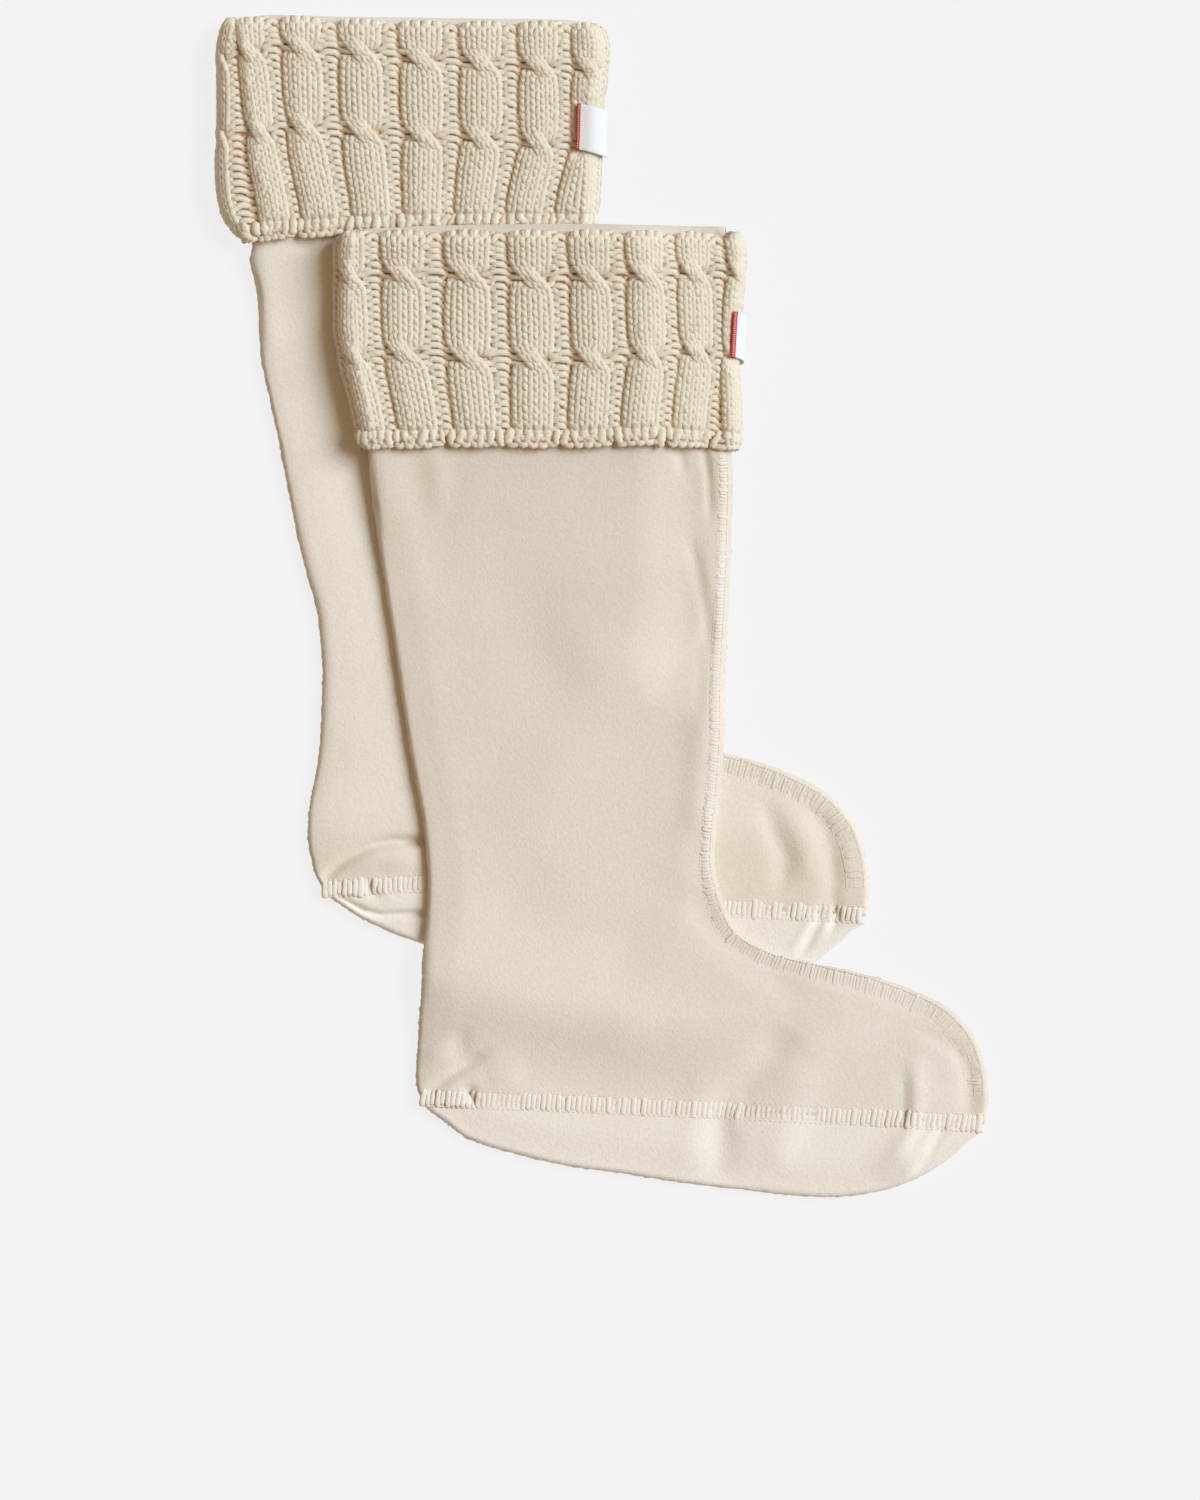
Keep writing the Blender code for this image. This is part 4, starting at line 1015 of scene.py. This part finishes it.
# The cables: x at the top, in the middle and at the bottom, and the heights of their two crossings
CABLES = {
    "front": np.array((
        (-34.6, -32, -24, 369, 333),
        (-8.8, -8.5, -1.5, 369, 334),
        (21, 21, 24.6, 369, 332),
        (49, 50.4, 50.2, 367.5, 331),
        (75.5, 77.2, 75.1, 368, 331.5),
        (100.4, 101.9, 98.2, 369, 333),
        (122, 124, 120.8, 370.5, 335),
        (142.6, 143.5, 137.7, 370.5, 335),
    )),
    "rear": np.array((
        (-36, -34.6, -29.2, 372, 340),
        (-27.5, -20.6, -13.6, 374.5, 340.5),
        (-1.9, -0.5, 7.3, 375.5, 341.5),
        (24.8, 26.5, 30.6, 374.5, 339.5),
        (52.2, 53.5, 53, 371.5, 337),
        (79.6, 79.6, 76, 370, 336),
        (105.3, 106.4, 98.8, 368.5, 333.5),
        (129.1, 128.3, 120.4, 368, 333),
    )),
}
# Places round the cuff are counted in cables. The near side runs from its first column to its last, and
# the knitting turns round the edges just beyond them
FIRST_COLUMN = {"front": 1 / 6, "rear": 4 / 6}
LAST_COLUMN = {"front": 6.5, "rear": 6 + 5 / 6}
COURSES = 29
CABLES_ROUND = 14
EDGE_LEAD = 0.2
EDGE_TURN = 0.7
LEAN_START = 0.5
STITCH_SHARE = 0.172
PURL_SHARE = 0.312
CABLE_HALF = 2 * STITCH_SHARE
# The knitting's middle layer is worked out on a grid of this many places to a cable
GRID_PLACES = 36
GRID_ROWS = 112
GRID_SHARES = (-0.05, 1.05)
CUFF_THICKNESS = 2 * KNIT + LAYERS + 2 * CLEARANCE
ROLL = 3.2
ROLL_BELOW_RIM = 1.7
ROLL_START = -0.6
HIGHEST_REST = 392.0
CUFF_DEPTH = CUFF_TOP - LOWER_EDGE["front"]


def cable_x(sock, position, height):
    """x of a place across the cuff, counted in cables, at this height."""
    cables = CABLES[sock]
    down = (CUFF_TOP - height) / (CUFF_TOP - LOWER_EDGE[sock])
    index = np.clip(np.floor(position).astype(int), 0, len(cables) - 2)
    places = []
    for cable in (index, index + 1):
        top, middle, bottom = (cables[cable, i] for i in range(3))
        upper_part = between(top, middle, np.minimum(down / LEAN_START, 1.0))
        places.append(between(upper_part, bottom, ease(down, LEAN_START, 1.0)))
    return between(places[0], places[1], position - index)


def rolled_share(share):
    """A row's place below the rolled rim, by its share of the way down the knitting, and the angle by
    which the knitting is turned over the rim there: 90 degrees from the roll down."""
    down = share * (CUFF_DEPTH + ROLL * (math.pi / 2 - 1.0))
    angle = np.clip(down / ROLL, ROLL_START, math.pi / 2)
    flat = ROLL + np.maximum(down - ROLL * math.pi / 2, 0.0)
    return flat / CUFF_DEPTH, angle


def knit_ground(sock):
    """The middle of the knitted layer, and its outward direction, on a grid: courses down the cuff, and
    a whole turn round it in steps of about a sixth of a stitch, from the middle of the far side."""
    first, last = FIRST_COLUMN[sock], LAST_COLUMN[sock]
    start = first - EDGE_LEAD - 2 * EDGE_TURN
    end = last + EDGE_LEAD + 2 * EDGE_TURN
    far = CABLES_ROUND - (end - start)
    positions = np.arange(start - far / 2, start - far / 2 + CABLES_ROUND + 1e-6, 1 / GRID_PLACES)
    rows = np.linspace(*GRID_SHARES, GRID_ROWS)
    half_middle = CUFF_THICKNESS / 2 - KNIT / 2
    reach_middle = CUFF_EDGE - KNIT / 2
    points = np.zeros((len(rows), len(positions), 3))
    normals = np.zeros_like(points)
    for i, row in enumerate(rows):
        share, turned = rolled_share(row)
        back, front = cuff_flat(sock, np.clip(share, 0.0, 1.0))
        level = between(CUFF_TOP, LOWER_EDGE[sock], share)
        first_x, last_x = cable_x(sock, np.array((first, last)), level)
        x = cable_x(sock, positions, level)
        knots = (start - far / 2, start, first - EDGE_LEAD, first, last, last + EDGE_LEAD, end, end + far / 2)
        middle = (back + front) / 2
        at = (middle, back, back, first_x, last_x, front, front, middle)
        x = np.where((positions >= first) & (positions <= last), x, np.interp(positions, knots, at))
        angle = np.interp(positions, (start, first - EDGE_LEAD, last + EDGE_LEAD, end), (-90, 90, 90, -90))
        angle = np.radians(angle)
        side = np.where(positions < (first + last) / 2, -1.0, 1.0)
        far_share = 0.5 - 0.5 * np.sin(angle)
        y = cuff_height(sock, share, far_share, x)
        rest = rest_height(sock, x, np.minimum(y, HIGHEST_REST))
        aside, up = side * np.cos(angle) * half_middle, np.sin(angle) * reach_middle
        normal = np.stack((aside, np.zeros_like(x), up), -1)
        normal /= np.linalg.norm(normal, axis=1, keepdims=True)
        points[i, :, 0] = x + side * reach_middle * np.cos(angle)
        points[i, :, 1] = y
        points[i, :, 2] = rest + KNIT / 2 + half_middle * (1.0 + np.sin(angle))
        points[i] += normal * ROLL * (math.sin(turned) - 1.0)
        points[i, :, 1] += ROLL * math.cos(turned) - ROLL_BELOW_RIM * (1.0 - ease(share, 0.0, RIM_FADE))
        normals[i] = normal * math.sin(turned)
        normals[i, :, 1] = math.cos(turned)
    return {"positions": positions, "rows": rows, "points": points, "normals": normals}


def on_ground(ground, position, share):
    """Points and outward directions at places on the cuff."""
    low = ground["positions"][0]
    across = np.mod(position - low, CABLES_ROUND) * GRID_PLACES
    down = (share - ground["rows"][0]) / (ground["rows"][1] - ground["rows"][0])
    i = np.clip(np.floor(down).astype(int), 0, len(ground["rows"]) - 2)
    j = np.clip(np.floor(across).astype(int), 0, len(ground["positions"]) - 2)
    s, t = (down - i)[..., None], (across - j)[..., None]
    found = []
    for key in ("points", "normals"):
        grid = ground[key]
        top = grid[i, j] * (1 - t) + grid[i, j + 1] * t
        bottom = grid[i + 1, j] * (1 - t) + grid[i + 1, j + 1] * t
        found.append(top * (1 - s) + bottom * s)
    return found


def nearest_crossing(sock, cable, height):
    """Height of the nearest place where a cable's strands cross."""
    table = CABLES[sock]
    row = table[np.clip(np.mod(cable, CABLES_ROUND), 0, len(table) - 1)]
    return np.where(np.abs(row[..., 3] - height) < np.abs(row[..., 4] - height), row[..., 3], row[..., 4])


# The label's lower edge, how far in from the cuff's edge it starts, and by how many degrees it runs on
# round the edge past its middle
LABEL_BOTTOM = {"front": 333.3, "rear": 333.0}
LABEL_FROM_EDGE = {"front": 4.6, "rear": 11.7}
LABEL_TURN = {"front": 60.0, "rear": 20.0}
LABEL_HEIGHT = 20.7
LABEL_DROP = 3.0
PRESS_REACH = 4.0


def label_press(sock, x, y):
    """1 under the label and 0 away from it."""
    edge = read(CUFF_EDGES[sock], 2, y)
    near_end = LABEL_FROM_EDGE[sock] - 1.0
    low = LABEL_BOTTOM[sock] - LABEL_DROP
    top = LABEL_BOTTOM[sock] + LABEL_HEIGHT
    under = 1.0 - ease(edge - x, near_end, near_end + PRESS_REACH)
    under = under * ease(y, low - PRESS_REACH, low + 0.5)
    return under * (1.0 - ease(y, top - 0.5, top + PRESS_REACH))


# How far from a crossing the strand in front and the strand behind start to turn
CROSSING = 7.2
CROSSING_BEHIND = 3.4
WAIST = 0.11
WAIST_REACH = 8.0


def strand_place(way, above):
    """Middle of one of a cable's two strands, in cables from the cable's middle, at this height above
    the crossing, and how far it has turned. The strand in front sweeps over, the other dives behind."""
    reach = CROSSING if way == "over" else CROSSING_BEHIND
    turn = ease(-above, -reach, reach)
    start = -0.5 if way == "over" else 0.5
    return between(start, -start, turn) * CABLE_HALF, turn


def waist(above):
    """How narrow a cable is at this height above its crossing."""
    return 1.0 - WAIST * np.exp(-((above / WAIST_REACH) ** 2))


def cable_sides(sock, cable, height):
    """The left and the right side of a cable at this height, in cables from its middle."""
    above = height - nearest_crossing(sock, cable, height)
    over, behind = strand_place("over", above)[0], strand_place("behind", above)[0]
    left, right = np.minimum(over, behind) - STITCH_SHARE, np.maximum(over, behind) + STITCH_SHARE
    return left * waist(above), right * waist(above)


CABLE_RISE = 2.35
COLUMN_SIDE = 0.34
COLUMN_SWELL = 0.66
COLUMN_STEEP = 0.42
COLUMN_FALL = 0.30
GUTTER_SLOPE = (0.66, -0.06)


def knit_rise(sock, place, height):
    """How far the knitting stands out: columns are steep on their left and slope off on their right, down
    to a deep line beside the next column."""
    cable = np.round(place).astype(int)
    rise = np.zeros(np.shape(place))
    left, right = cable_sides(sock, cable, height)
    across = (place - cable - left) / (right - left)
    steep = np.sin(np.pi / 2 * np.clip(across / COLUMN_STEEP, 0.0, 1.0)) ** 0.8
    column = (COLUMN_SIDE + COLUMN_SWELL * steep) * (1.0 - COLUMN_FALL * ease(across, 0.55, 1.0))
    for low in (cable - 1, cable):
        at_left = low + cable_sides(sock, low, height)[1]
        at_right = low + 1 + cable_sides(sock, low + 1, height)[0]
        gutter = (place - at_left) / np.maximum(at_right - at_left, 1e-6)
        slope = between(*GUTTER_SLOPE, ease(gutter, 0.0, 0.95))
        rise = np.where((gutter > 0.0) & (gutter < 1.0), slope, rise)
    rise = np.where((across >= 0.0) & (across <= 1.0), column, rise)
    return CABLE_RISE * rise


# In a course that cuts a crossing between these shares of its turn, the yarn is hidden and starts anew
CUT_TURN = 0.12


def course_runs(sock, course):
    """The stitches of one course from left to right, in runs of yarn that aren't broken. Each stitch is a
    cable's number, its way past the crossing or purl, its place in the strand, and the crossing's height."""
    height = between(CUFF_TOP, LOWER_EDGE[sock], (course + 0.5) / COURSES)
    runs = [[]]
    for cable in range(-CABLES_ROUND // 2 - 1, CABLES_ROUND + CABLES_ROUND // 2):
        crossing = float(nearest_crossing(sock, cable, height))
        turn = float(strand_place("over", height - crossing)[1])
        runs[-1] += [(cable, "purl", 0, None)]
        for number, way in enumerate(("over", "behind") if turn < 0.5 else ("behind", "over")):
            if number and CUT_TURN < turn < 1.0 - CUT_TURN:
                runs.append([])
            runs[-1] += [(cable, way, 0, crossing), (cable, way, 1, crossing)]
    return runs


def stitch_middle(cable, way, side, _):
    return cable - 0.5 if way == "purl" else cable + (side - 0.5) * STITCH_SHARE


# Half the thickness of the yarn in knit and purl stitches, and how its loops lie
YARN = 1.52
PURL_YARN = 1.55
YARN_FLATNESS = 0.68
YARN_UNEVEN = 0.06
STITCH_SHIFT = 0.04
LOOP_DEPTH = 0.62
LOOP_REACH = 0.92
LOOP_BEND = 0.25
PURL_REACH = 0.86
PURL_SLANT = 0.3
OVER_LIFT = 0.55
UNDER_DIP = -1.3
CAST_OFF_COURSES = 2
CAST_OFF_FLATTER = 0.55
CAST_OFF_SHARES = (0.89, 0.96)
LABEL_FLATTER = 0.6
SIDE_FLATTER = 0.5
UNDER_SHARE = 0.3
UNDER_LIMITS = (-0.4, 0.5)
STRAND_HALF = 0.26
STRAND_NARROWER = 0.08
# The yarn's height for its painted shade counts the columns' rise up to the first, and is lowered by the
# second
SHADE_DEPTH_HIGHEST = 1.2
SHADE_DEPTH_DROP = 0.7


def yarn_path(sock, ground, course, run, steps, randoms):
    """The yarn through one run of stitches, its thickness, its height over the columns' sides, which sets
    its painted shade, and the outward direction along it."""
    t = np.linspace(0.0, 2 * np.pi, steps, endpoint=False)
    parts = []
    garter = course >= COURSES - CAST_OFF_COURSES
    faces = [-1.0 if garter or stitch[1] == "purl" else 1.0 for stitch in run]
    for number, (cable, way, side, crossing) in enumerate(run):
        shift = randoms.normal(0.0, STITCH_SHIFT, 4)
        purl = way == "purl"
        bend = LOOP_BEND * (0.5 if purl else 1.0) * (1 + shift[0])
        along = t / (2 * np.pi) + bend * np.sin(2 * t)
        reach = (PURL_REACH if purl else LOOP_REACH) * (1 + shift[1])
        slant = (PURL_SLANT + 5.0 * shift[3]) * (along - 0.5) if purl else 0.0
        down = (course + 0.5 + reach * np.cos(t) + slant + 0.5 * shift[2]) / COURSES
        knit = faces[number]
        before = faces[number - 1] if number else knit
        after = faces[number + 1] if number + 1 < len(run) else knit
        coming = between((before + knit) / 2, knit, ease(t, 0.0, np.pi / 2))
        going = between(knit, (after + knit) / 2, ease(t, 1.5 * np.pi, 2 * np.pi))
        face = np.where(t < np.pi / 2, coming, np.where(t > 1.5 * np.pi, going, knit))
        loop = -face * LOOP_DEPTH * np.cos(2 * t) + 2 * shift[3] + randoms.normal(0.0, YARN_UNEVEN, steps)
        height = between(CUFF_TOP, LOWER_EDGE[sock], down)
        if purl:
            left = cable - 1 + cable_sides(sock, cable - 1, height)[1]
            right = cable + cable_sides(sock, cable, height)[0]
            place = between(left, right, along)
            raised = knit_rise(sock, place, height)
        else:
            centre, turn = strand_place(way, height - crossing)
            crossing_over = np.sin(np.pi * turn)
            in_strand = (side - 1 + along) * STITCH_SHARE * (1.0 - STRAND_NARROWER * crossing_over)
            place = cable + (centre + in_strand) * waist(height - crossing)
            strand = np.cos(np.clip(np.abs(in_strand) / STRAND_HALF, 0.0, 1.0) * np.pi / 2) ** 0.6
            lift = OVER_LIFT if way == "over" else UNDER_DIP
            column = knit_rise(sock, place, height)
            raised = between(column, CABLE_RISE * (strand + lift), crossing_over)
        raised = raised * (1.0 - CAST_OFF_FLATTER * ease(down, *CAST_OFF_SHARES))
        # Height that sets the painted shade down between the stitches
        level = loop + np.minimum(raised, SHADE_DEPTH_HIGHEST) - SHADE_DEPTH_DROP
        thickness = between(YARN, PURL_YARN, 0.5 - 0.5 * face)
        radii = thickness * (1.0 + randoms.normal(0.0, YARN_UNEVEN, steps))
        parts.append((place, down, loop + raised, level, radii))
    position, share, out, level, radii = (np.concatenate(part) for part in zip(*parts))
    points, normals = on_ground(ground, position, share)
    flat = label_press(sock, points[:, 0], points[:, 1]) * np.clip(normals[:, 2], 0.0, 1.0)
    out = out * (1.0 - LABEL_FLATTER * flat) * (1.0 - SIDE_FLATTER * np.abs(normals[:, 0]))
    under = np.clip(-normals[:, 2], 0.0, 1.0)
    out = between(out, np.clip(out * UNDER_SHARE, *UNDER_LIMITS), under)
    return points + normals * out[:, None], radii, level, normals


YARN_LIGHT = (0.75, 0.675, 0.547, 1.0)
YARN_SHADE = (0.71, 0.62, 0.475, 1.0)
# Browner painted shade for yarn down between the stitches
YARN_PAINTED_SHADE = (0.76, 0.45, 0.22, 1.0)


def knit_yarn():
    """Cream wool-mix yarn, spun of soft uneven plies, with painted shade, browner, down between the stitches.
    """
    yarn = Finish("oatmeal_yarn", Roughness=0.95, Sheen_Weight=0.08, Specular_IOR_Level=0.1)
    plies = yarn.noise(0.9, 3.0, 0.65)
    fibre = yarn.noise(0.35, 2.0, 0.7)
    drift = yarn.noise(9.0, 2.0, 0.5)
    tone = yarn.fade(plies * 0.5 + fibre * 0.3 + drift * 0.2, 0.38, 0.62)
    spun = yarn.blend(tone, YARN_SHADE, YARN_LIGHT)
    yarn.wear(
        Base_Color=yarn.blend(yarn.marked("depth") * 0.95, spun, YARN_PAINTED_SHADE),
        Roughness=yarn.fade(plies, 0.3, 0.7, 0.82, 0.97),
        Normal=yarn.bump(plies * 0.6 + fibre * 0.4, 0.5, 1.0),
    )
    return yarn


# The knit ground's two tones, both painted shade
INSIDE_PAINTED_SHADE_PALE = (0.74, 0.58, 0.41, 1.0)
INSIDE_PAINTED_SHADE_DEEP = (0.72, 0.49, 0.29, 1.0)


def knit_inside_painted_shade():
    """The inner face of the knitting, seen between the stitches, coloured all over with painted shade."""
    inside = Finish("oatmeal_knit_ground_painted_shade", Roughness=0.95, Specular_IOR_Level=0.1)
    loops = inside.noise(2.4, 2.0, 0.5, (1.0, 1.6, 1.0))
    inside.wear(
        Base_Color=inside.blend(inside.fade(loops, 0.3, 0.7), INSIDE_PAINTED_SHADE_DEEP, INSIDE_PAINTED_SHADE_PALE),
        Normal=inside.bump(loops, 0.8, 0.8),
    )
    return inside


SHELL_ROWS = 44
SHELL_STEP = 3
SHELL_OUTER = -0.3
SHELL_INNER = -1.5
KNIT_OFF_FLOOR = 0.05


def ground_shell(sock, ground, finish):
    """A closed thin shell behind the yarn, coloured with painted shade by its finish."""
    shares = np.linspace(-0.02, 1.0, SHELL_ROWS)
    grid_position, grid_share = np.meshgrid(ground["positions"][:-1:SHELL_STEP], shares)
    points, normals = on_ground(ground, grid_position, grid_share)
    near = np.clip(normals[..., 2], 0.0, 1.0)
    level = between(CUFF_TOP, LOWER_EDGE[sock], grid_share)
    raised = near * np.maximum(knit_rise(sock, grid_position, level) - 0.3, -0.3)
    raised = SHELL_OUTER + raised * (1.0 - label_press(sock, points[..., 0], points[..., 1]))
    shape = tube_wall(points + normals * raised[..., None], points + normals * SHELL_INNER)
    return new_piece(sock, "cuff_ground", shape, finish, KNIT_OFF_FLOOR)


KNOB_UNEVEN = (0.035, 0.11, 0.25, 0.3)
KNOB_RADIUS = 2.1
KNOB_FLATNESS = 0.7
KNOB_POINTS = 9
KNOB_WAVE = 0.012
KNOB_TOP = 1.9
KNOB_LENGTH = 2.0
KNOB_STAND = 0.3
KNOB_SWELL = 1.1


def cast_off(strands, ground, low, high, randoms, sides):
    """The knobs of the cast-off edge, one to a stitch and each a short fat loop over the last courses."""
    starts = []
    for cable in range(math.floor(low) - 1, math.ceil(high) + 2):
        starts += [cable - CABLE_HALF + (i + 0.5) * STITCH_SHARE for i in range(4)]
        starts += [cable + CABLE_HALF + (i + 0.5) * PURL_SHARE / 2 for i in range(2)]
    for place in sorted(starts):
        if not low <= place < high:
            continue
        lean, size, drop, stand = randoms.normal(0.0, KNOB_UNEVEN)
        t = np.linspace(0.0, 1.0, KNOB_POINTS)
        position = place + lean * (2 * t - 1) + KNOB_WAVE * np.sin(2 * np.pi * t + 9 * lean)
        share = (COURSES - KNOB_TOP + KNOB_LENGTH * t + drop * t) / COURSES
        points, normals = on_ground(ground, position, share)
        near = np.clip(normals[:, 2] + 0.6, 0.0, 1.0)
        rise = (KNOB_STAND + stand + KNOB_SWELL * np.sin(np.pi * (0.05 + 0.8 * t))) * near
        radii = KNOB_RADIUS * (1 + size) * np.sin(np.pi * (0.19 + 0.62 * t)) ** 0.6
        radii = radii * (1 + randoms.normal(0.0, KNOB_UNEVEN[1], KNOB_POINTS)) * between(0.6, 1.0, near)
        path = points + normals * rise[:, None]
        strands.add(path, radii, sides, rise - 1.2, normals, flatness=KNOB_FLATNESS)


YARN_SEEDS = {"front": 11, "rear": 23}
SPLIT_COURSE = 15
NEAR_REACH = 1.1
KNIT_STEPS = 11
KNIT_SIDES = 6
FAR_STEPS = 6
FAR_SIDES = 4
yarn_finish = knit_yarn()
inside_shade_finish = knit_inside_painted_shade()
for sock in ("front", "rear"):
    ground = knit_ground(sock)
    randoms = np.random.default_rng(YARN_SEEDS[sock])
    shell = ground_shell(sock, ground, inside_shade_finish)
    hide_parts(f"{sock}_sock_cuff")
    near_low = FIRST_COLUMN[sock] - EDGE_LEAD - NEAR_REACH * EDGE_TURN
    near_high = LAST_COLUMN[sock] + EDGE_LEAD + NEAR_REACH * EDGE_TURN
    for part, low, high, first_course, last_course, steps, sides in (
        ("upper_courses", near_low, near_high, -1, SPLIT_COURSE, KNIT_STEPS, KNIT_SIDES),
        ("lower_courses", near_low, near_high, SPLIT_COURSE, COURSES, KNIT_STEPS, KNIT_SIDES),
        ("far_side", near_high, near_low + CABLES_ROUND, 1, COURSES, FAR_STEPS, FAR_SIDES),
    ):
        strands = Strands()
        for course in range(first_course, last_course):
            for run in course_runs(sock, course):
                run = [stitch for stitch in run if low <= stitch_middle(*stitch) < high]
                if run:
                    path, radii, level, outward = yarn_path(sock, ground, course, run, steps, randoms)
                    strands.add(path, radii, sides, level, outward, -0.9, 0.5, YARN_FLATNESS)
        if last_course == COURSES:
            cast_off(strands, ground, low, high, randoms, sides + 1)
        strands.piece(sock, f"cuff_{part}", yarn_finish, "cable_knit")

# ---------------------------------------------------------------------------------------------------
# The labels. Each is a short tab of plain white woven tape with a red bar woven across each end, folded
# round the cuff's front edge and sewn down at its two short ends.
WHITE = (0.74, 0.74, 0.745, 1.0)
WHITE_SHADE = (0.64, 0.64, 0.64, 1.0)
RED = (0.68, 0.020, 0.026, 1.0)
RED_SHADE = (0.56, 0.012, 0.016, 1.0)
TAPE = 0.5
TAPE_OVER_KNIT = 1.3
BAR = 1.7
BAR_EDGE = 0.01
LABEL_ROWS = 25
LABEL_COLUMNS = 26
LABEL_DROP_REACH = 14.0
LABEL_STITCH_PLACES = (0.15, 0.4, 0.7)
LABEL_STITCH_RISE = (0.02, 0.12, 0.02)
LABEL_STITCH_RADII = np.array((0.1, 0.16, 0.1))


def woven_tape():
    """White satin-woven tape with a red bar woven across each end."""
    tape = Finish("white_label_tape", Roughness=0.55, Sheen_Weight=0.1, Specular_IOR_Level=0.35)
    threads = tape.noise(0.35, 1.0, 0.5, (1.0, 2.4, 1.0))
    tone = tape.fade(threads, 0.3, 0.7)
    white, red = tape.blend(tone, WHITE_SHADE, WHITE), tape.blend(tone, RED_SHADE, RED)
    tape.wear(Base_Color=tape.blend(tape.marked("bar"), white, red), Normal=tape.bump(threads, 0.1, 0.6))
    return tape


def label_points(sock, away):
    """Rows of points of the label, from its lower edge up, each from its near end round the edge."""
    half = CUFF_THICKNESS / 2
    near_top, bottom = CUFF_RIMS[sock][-1, 1], CUFF_RIMS[sock][-1, 3]
    grid = []
    for height in np.linspace(LABEL_BOTTOM[sock], LABEL_BOTTOM[sock] + LABEL_HEIGHT, LABEL_ROWS):
        centre = cuff_flat(sock, (near_top - height) / (near_top - bottom))[1]
        rest = float(rest_height(sock, np.array(centre), np.array(height)))
        near_end = centre + CUFF_EDGE - LABEL_FROM_EDGE[sock]
        flat_length = max(centre - near_end, 0.0)
        first = 90.0 if near_end < centre else math.degrees(math.acos((near_end - centre) / CUFF_EDGE))
        length = flat_length + math.radians(first + LABEL_TURN[sock]) * CUFF_EDGE
        ends = (0.0, BAR, BAR + BAR_EDGE, length - BAR - BAR_EDGE, length - BAR, length)
        middle = np.linspace(BAR, length - BAR, LABEL_COLUMNS - 4)[1:-1]
        row = []
        for along in np.sort(np.concatenate((ends, middle))):
            lower = height - LABEL_DROP * ease(along, 0.0, LABEL_DROP_REACH)
            if along < flat_length:
                row.append((near_end + along, lower, rest + 2 * half + away))
            else:
                angle = math.radians(first) - (along - flat_length) / CUFF_EDGE
                x = centre + (CUFF_EDGE + away) * math.cos(angle)
                row.append((x, lower, rest + half + (half + away) * math.sin(angle)))
        grid.append(row)
    return np.array(grid)


tape_finish = woven_tape()
for sock in ("front", "rear"):
    outer, inner = (label_points(sock, CLEARANCE + away + TAPE_OVER_KNIT) for away in (TAPE, 0.0))
    shape = sheet_wall(outer, inner, False)
    label = new_piece(sock, "tape_label", shape, tape_finish, KNIT_OFF_FLOOR)
    rows, columns = outer.shape[:2]
    in_bar = np.isin(np.arange(columns), (0, 1, columns - 2, columns - 1))
    mark(label, "bar", np.tile(in_bar, 2 * rows))
    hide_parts(f"{sock}_sock_label")
    stitches = Strands()
    for row in range(1, rows - 1):
        for column in (0, columns - 2):
            across, ahead = outer[row, column:column + 2]
            path = np.array([between(across, ahead, share) for share in LABEL_STITCH_PLACES])
            path[:, 2] += LABEL_STITCH_RISE
            stitches.add(path, LABEL_STITCH_RADII, 4, 0.3)
    label_stitches = stitches.piece(sock, "label_stitches", sole_thread, "label_tape")

# ---------------------------------------------------------------------------------------------------
# The studio. A plain pale surface glows a little by itself and is lit softly from the right, and the
# camera looks straight down on it from far above.


def pale_surface():
    """A matt surface that is lit a little from beneath, as product photographs are taken on."""
    surface = Finish("pale_studio_surface", Roughness=0.9, Specular_IOR_Level=0.0, Emission_Strength=0.829,
                     Emission_Color=(0.981, 0.991, 1.0, 1.0))
    tone = surface.noise(60.0, 1.0, 0.4)
    surface.wear(Base_Color=surface.blend(tone, (0.082, 0.073, 0.065, 1.0), (0.086, 0.077, 0.069, 1.0)))
    return surface


FLOOR_HALF = 3.0
FLOOR_DROP = 0.0002
floor_mesh = bpy.data.meshes.new("studio_surface")
corners = [(x * FLOOR_HALF, y * FLOOR_HALF, 0.0) for x, y in ((-1, -1), (1, -1), (1, 1), (-1, 1))]
floor_mesh.from_pydata(corners, [], [(0, 1, 2, 3)])
floor_mesh.materials.append(pale_surface().material)
floor = bpy.data.objects.new("studio_surface", floor_mesh)
floor.location.z = -FLOOR_DROP
bpy.context.scene.collection.objects.link(floor)

# The light is so far off that it falls evenly. Its height, way round and spread are in degrees
KEY_HEIGHT = 42.0
KEY_WAY = 20.0
KEY_SPREAD = 34.0
KEY_STRENGTH = 3.99
KEY_COLOUR = (0.769, 0.885, 1.0)
SKY_STRENGTH = 0.35
SKY_COLOUR = (1.0, 0.72, 0.44, 1.0)
lamp = bpy.data.lights.new("key_light", "SUN")
lamp.angle = math.radians(KEY_SPREAD)
lamp.energy = KEY_STRENGTH
lamp.color = KEY_COLOUR
light = bpy.data.objects.new("key_light", lamp)
light.rotation_euler = (0.0, math.radians(90.0 - KEY_HEIGHT), math.radians(KEY_WAY))
bpy.context.scene.collection.objects.link(light)
world = bpy.data.worlds.new("studio")
bpy.context.scene.world = world
world.use_nodes = True
around = world.node_tree.nodes["Background"].inputs
around["Color"].default_value = SKY_COLOUR
around["Strength"].default_value = SKY_STRENGTH
bpy.context.scene.view_settings.view_transform = "Standard"

CAMERA_HEIGHT = 5.0
VIEW_HEIGHT = 0.675
VIEW_MIDDLE = (-0.0011, -0.0641)
SENSOR_HEIGHT = 36.0
camera_data = bpy.data.cameras.new("camera")
camera_data.sensor_fit = "VERTICAL"
camera_data.sensor_height = SENSOR_HEIGHT
camera_data.lens = SENSOR_HEIGHT * CAMERA_HEIGHT / VIEW_HEIGHT
camera = bpy.data.objects.new("camera", camera_data)
camera.location = (*VIEW_MIDDLE, CAMERA_HEIGHT)
bpy.context.scene.collection.objects.link(camera)
bpy.context.scene.camera = camera
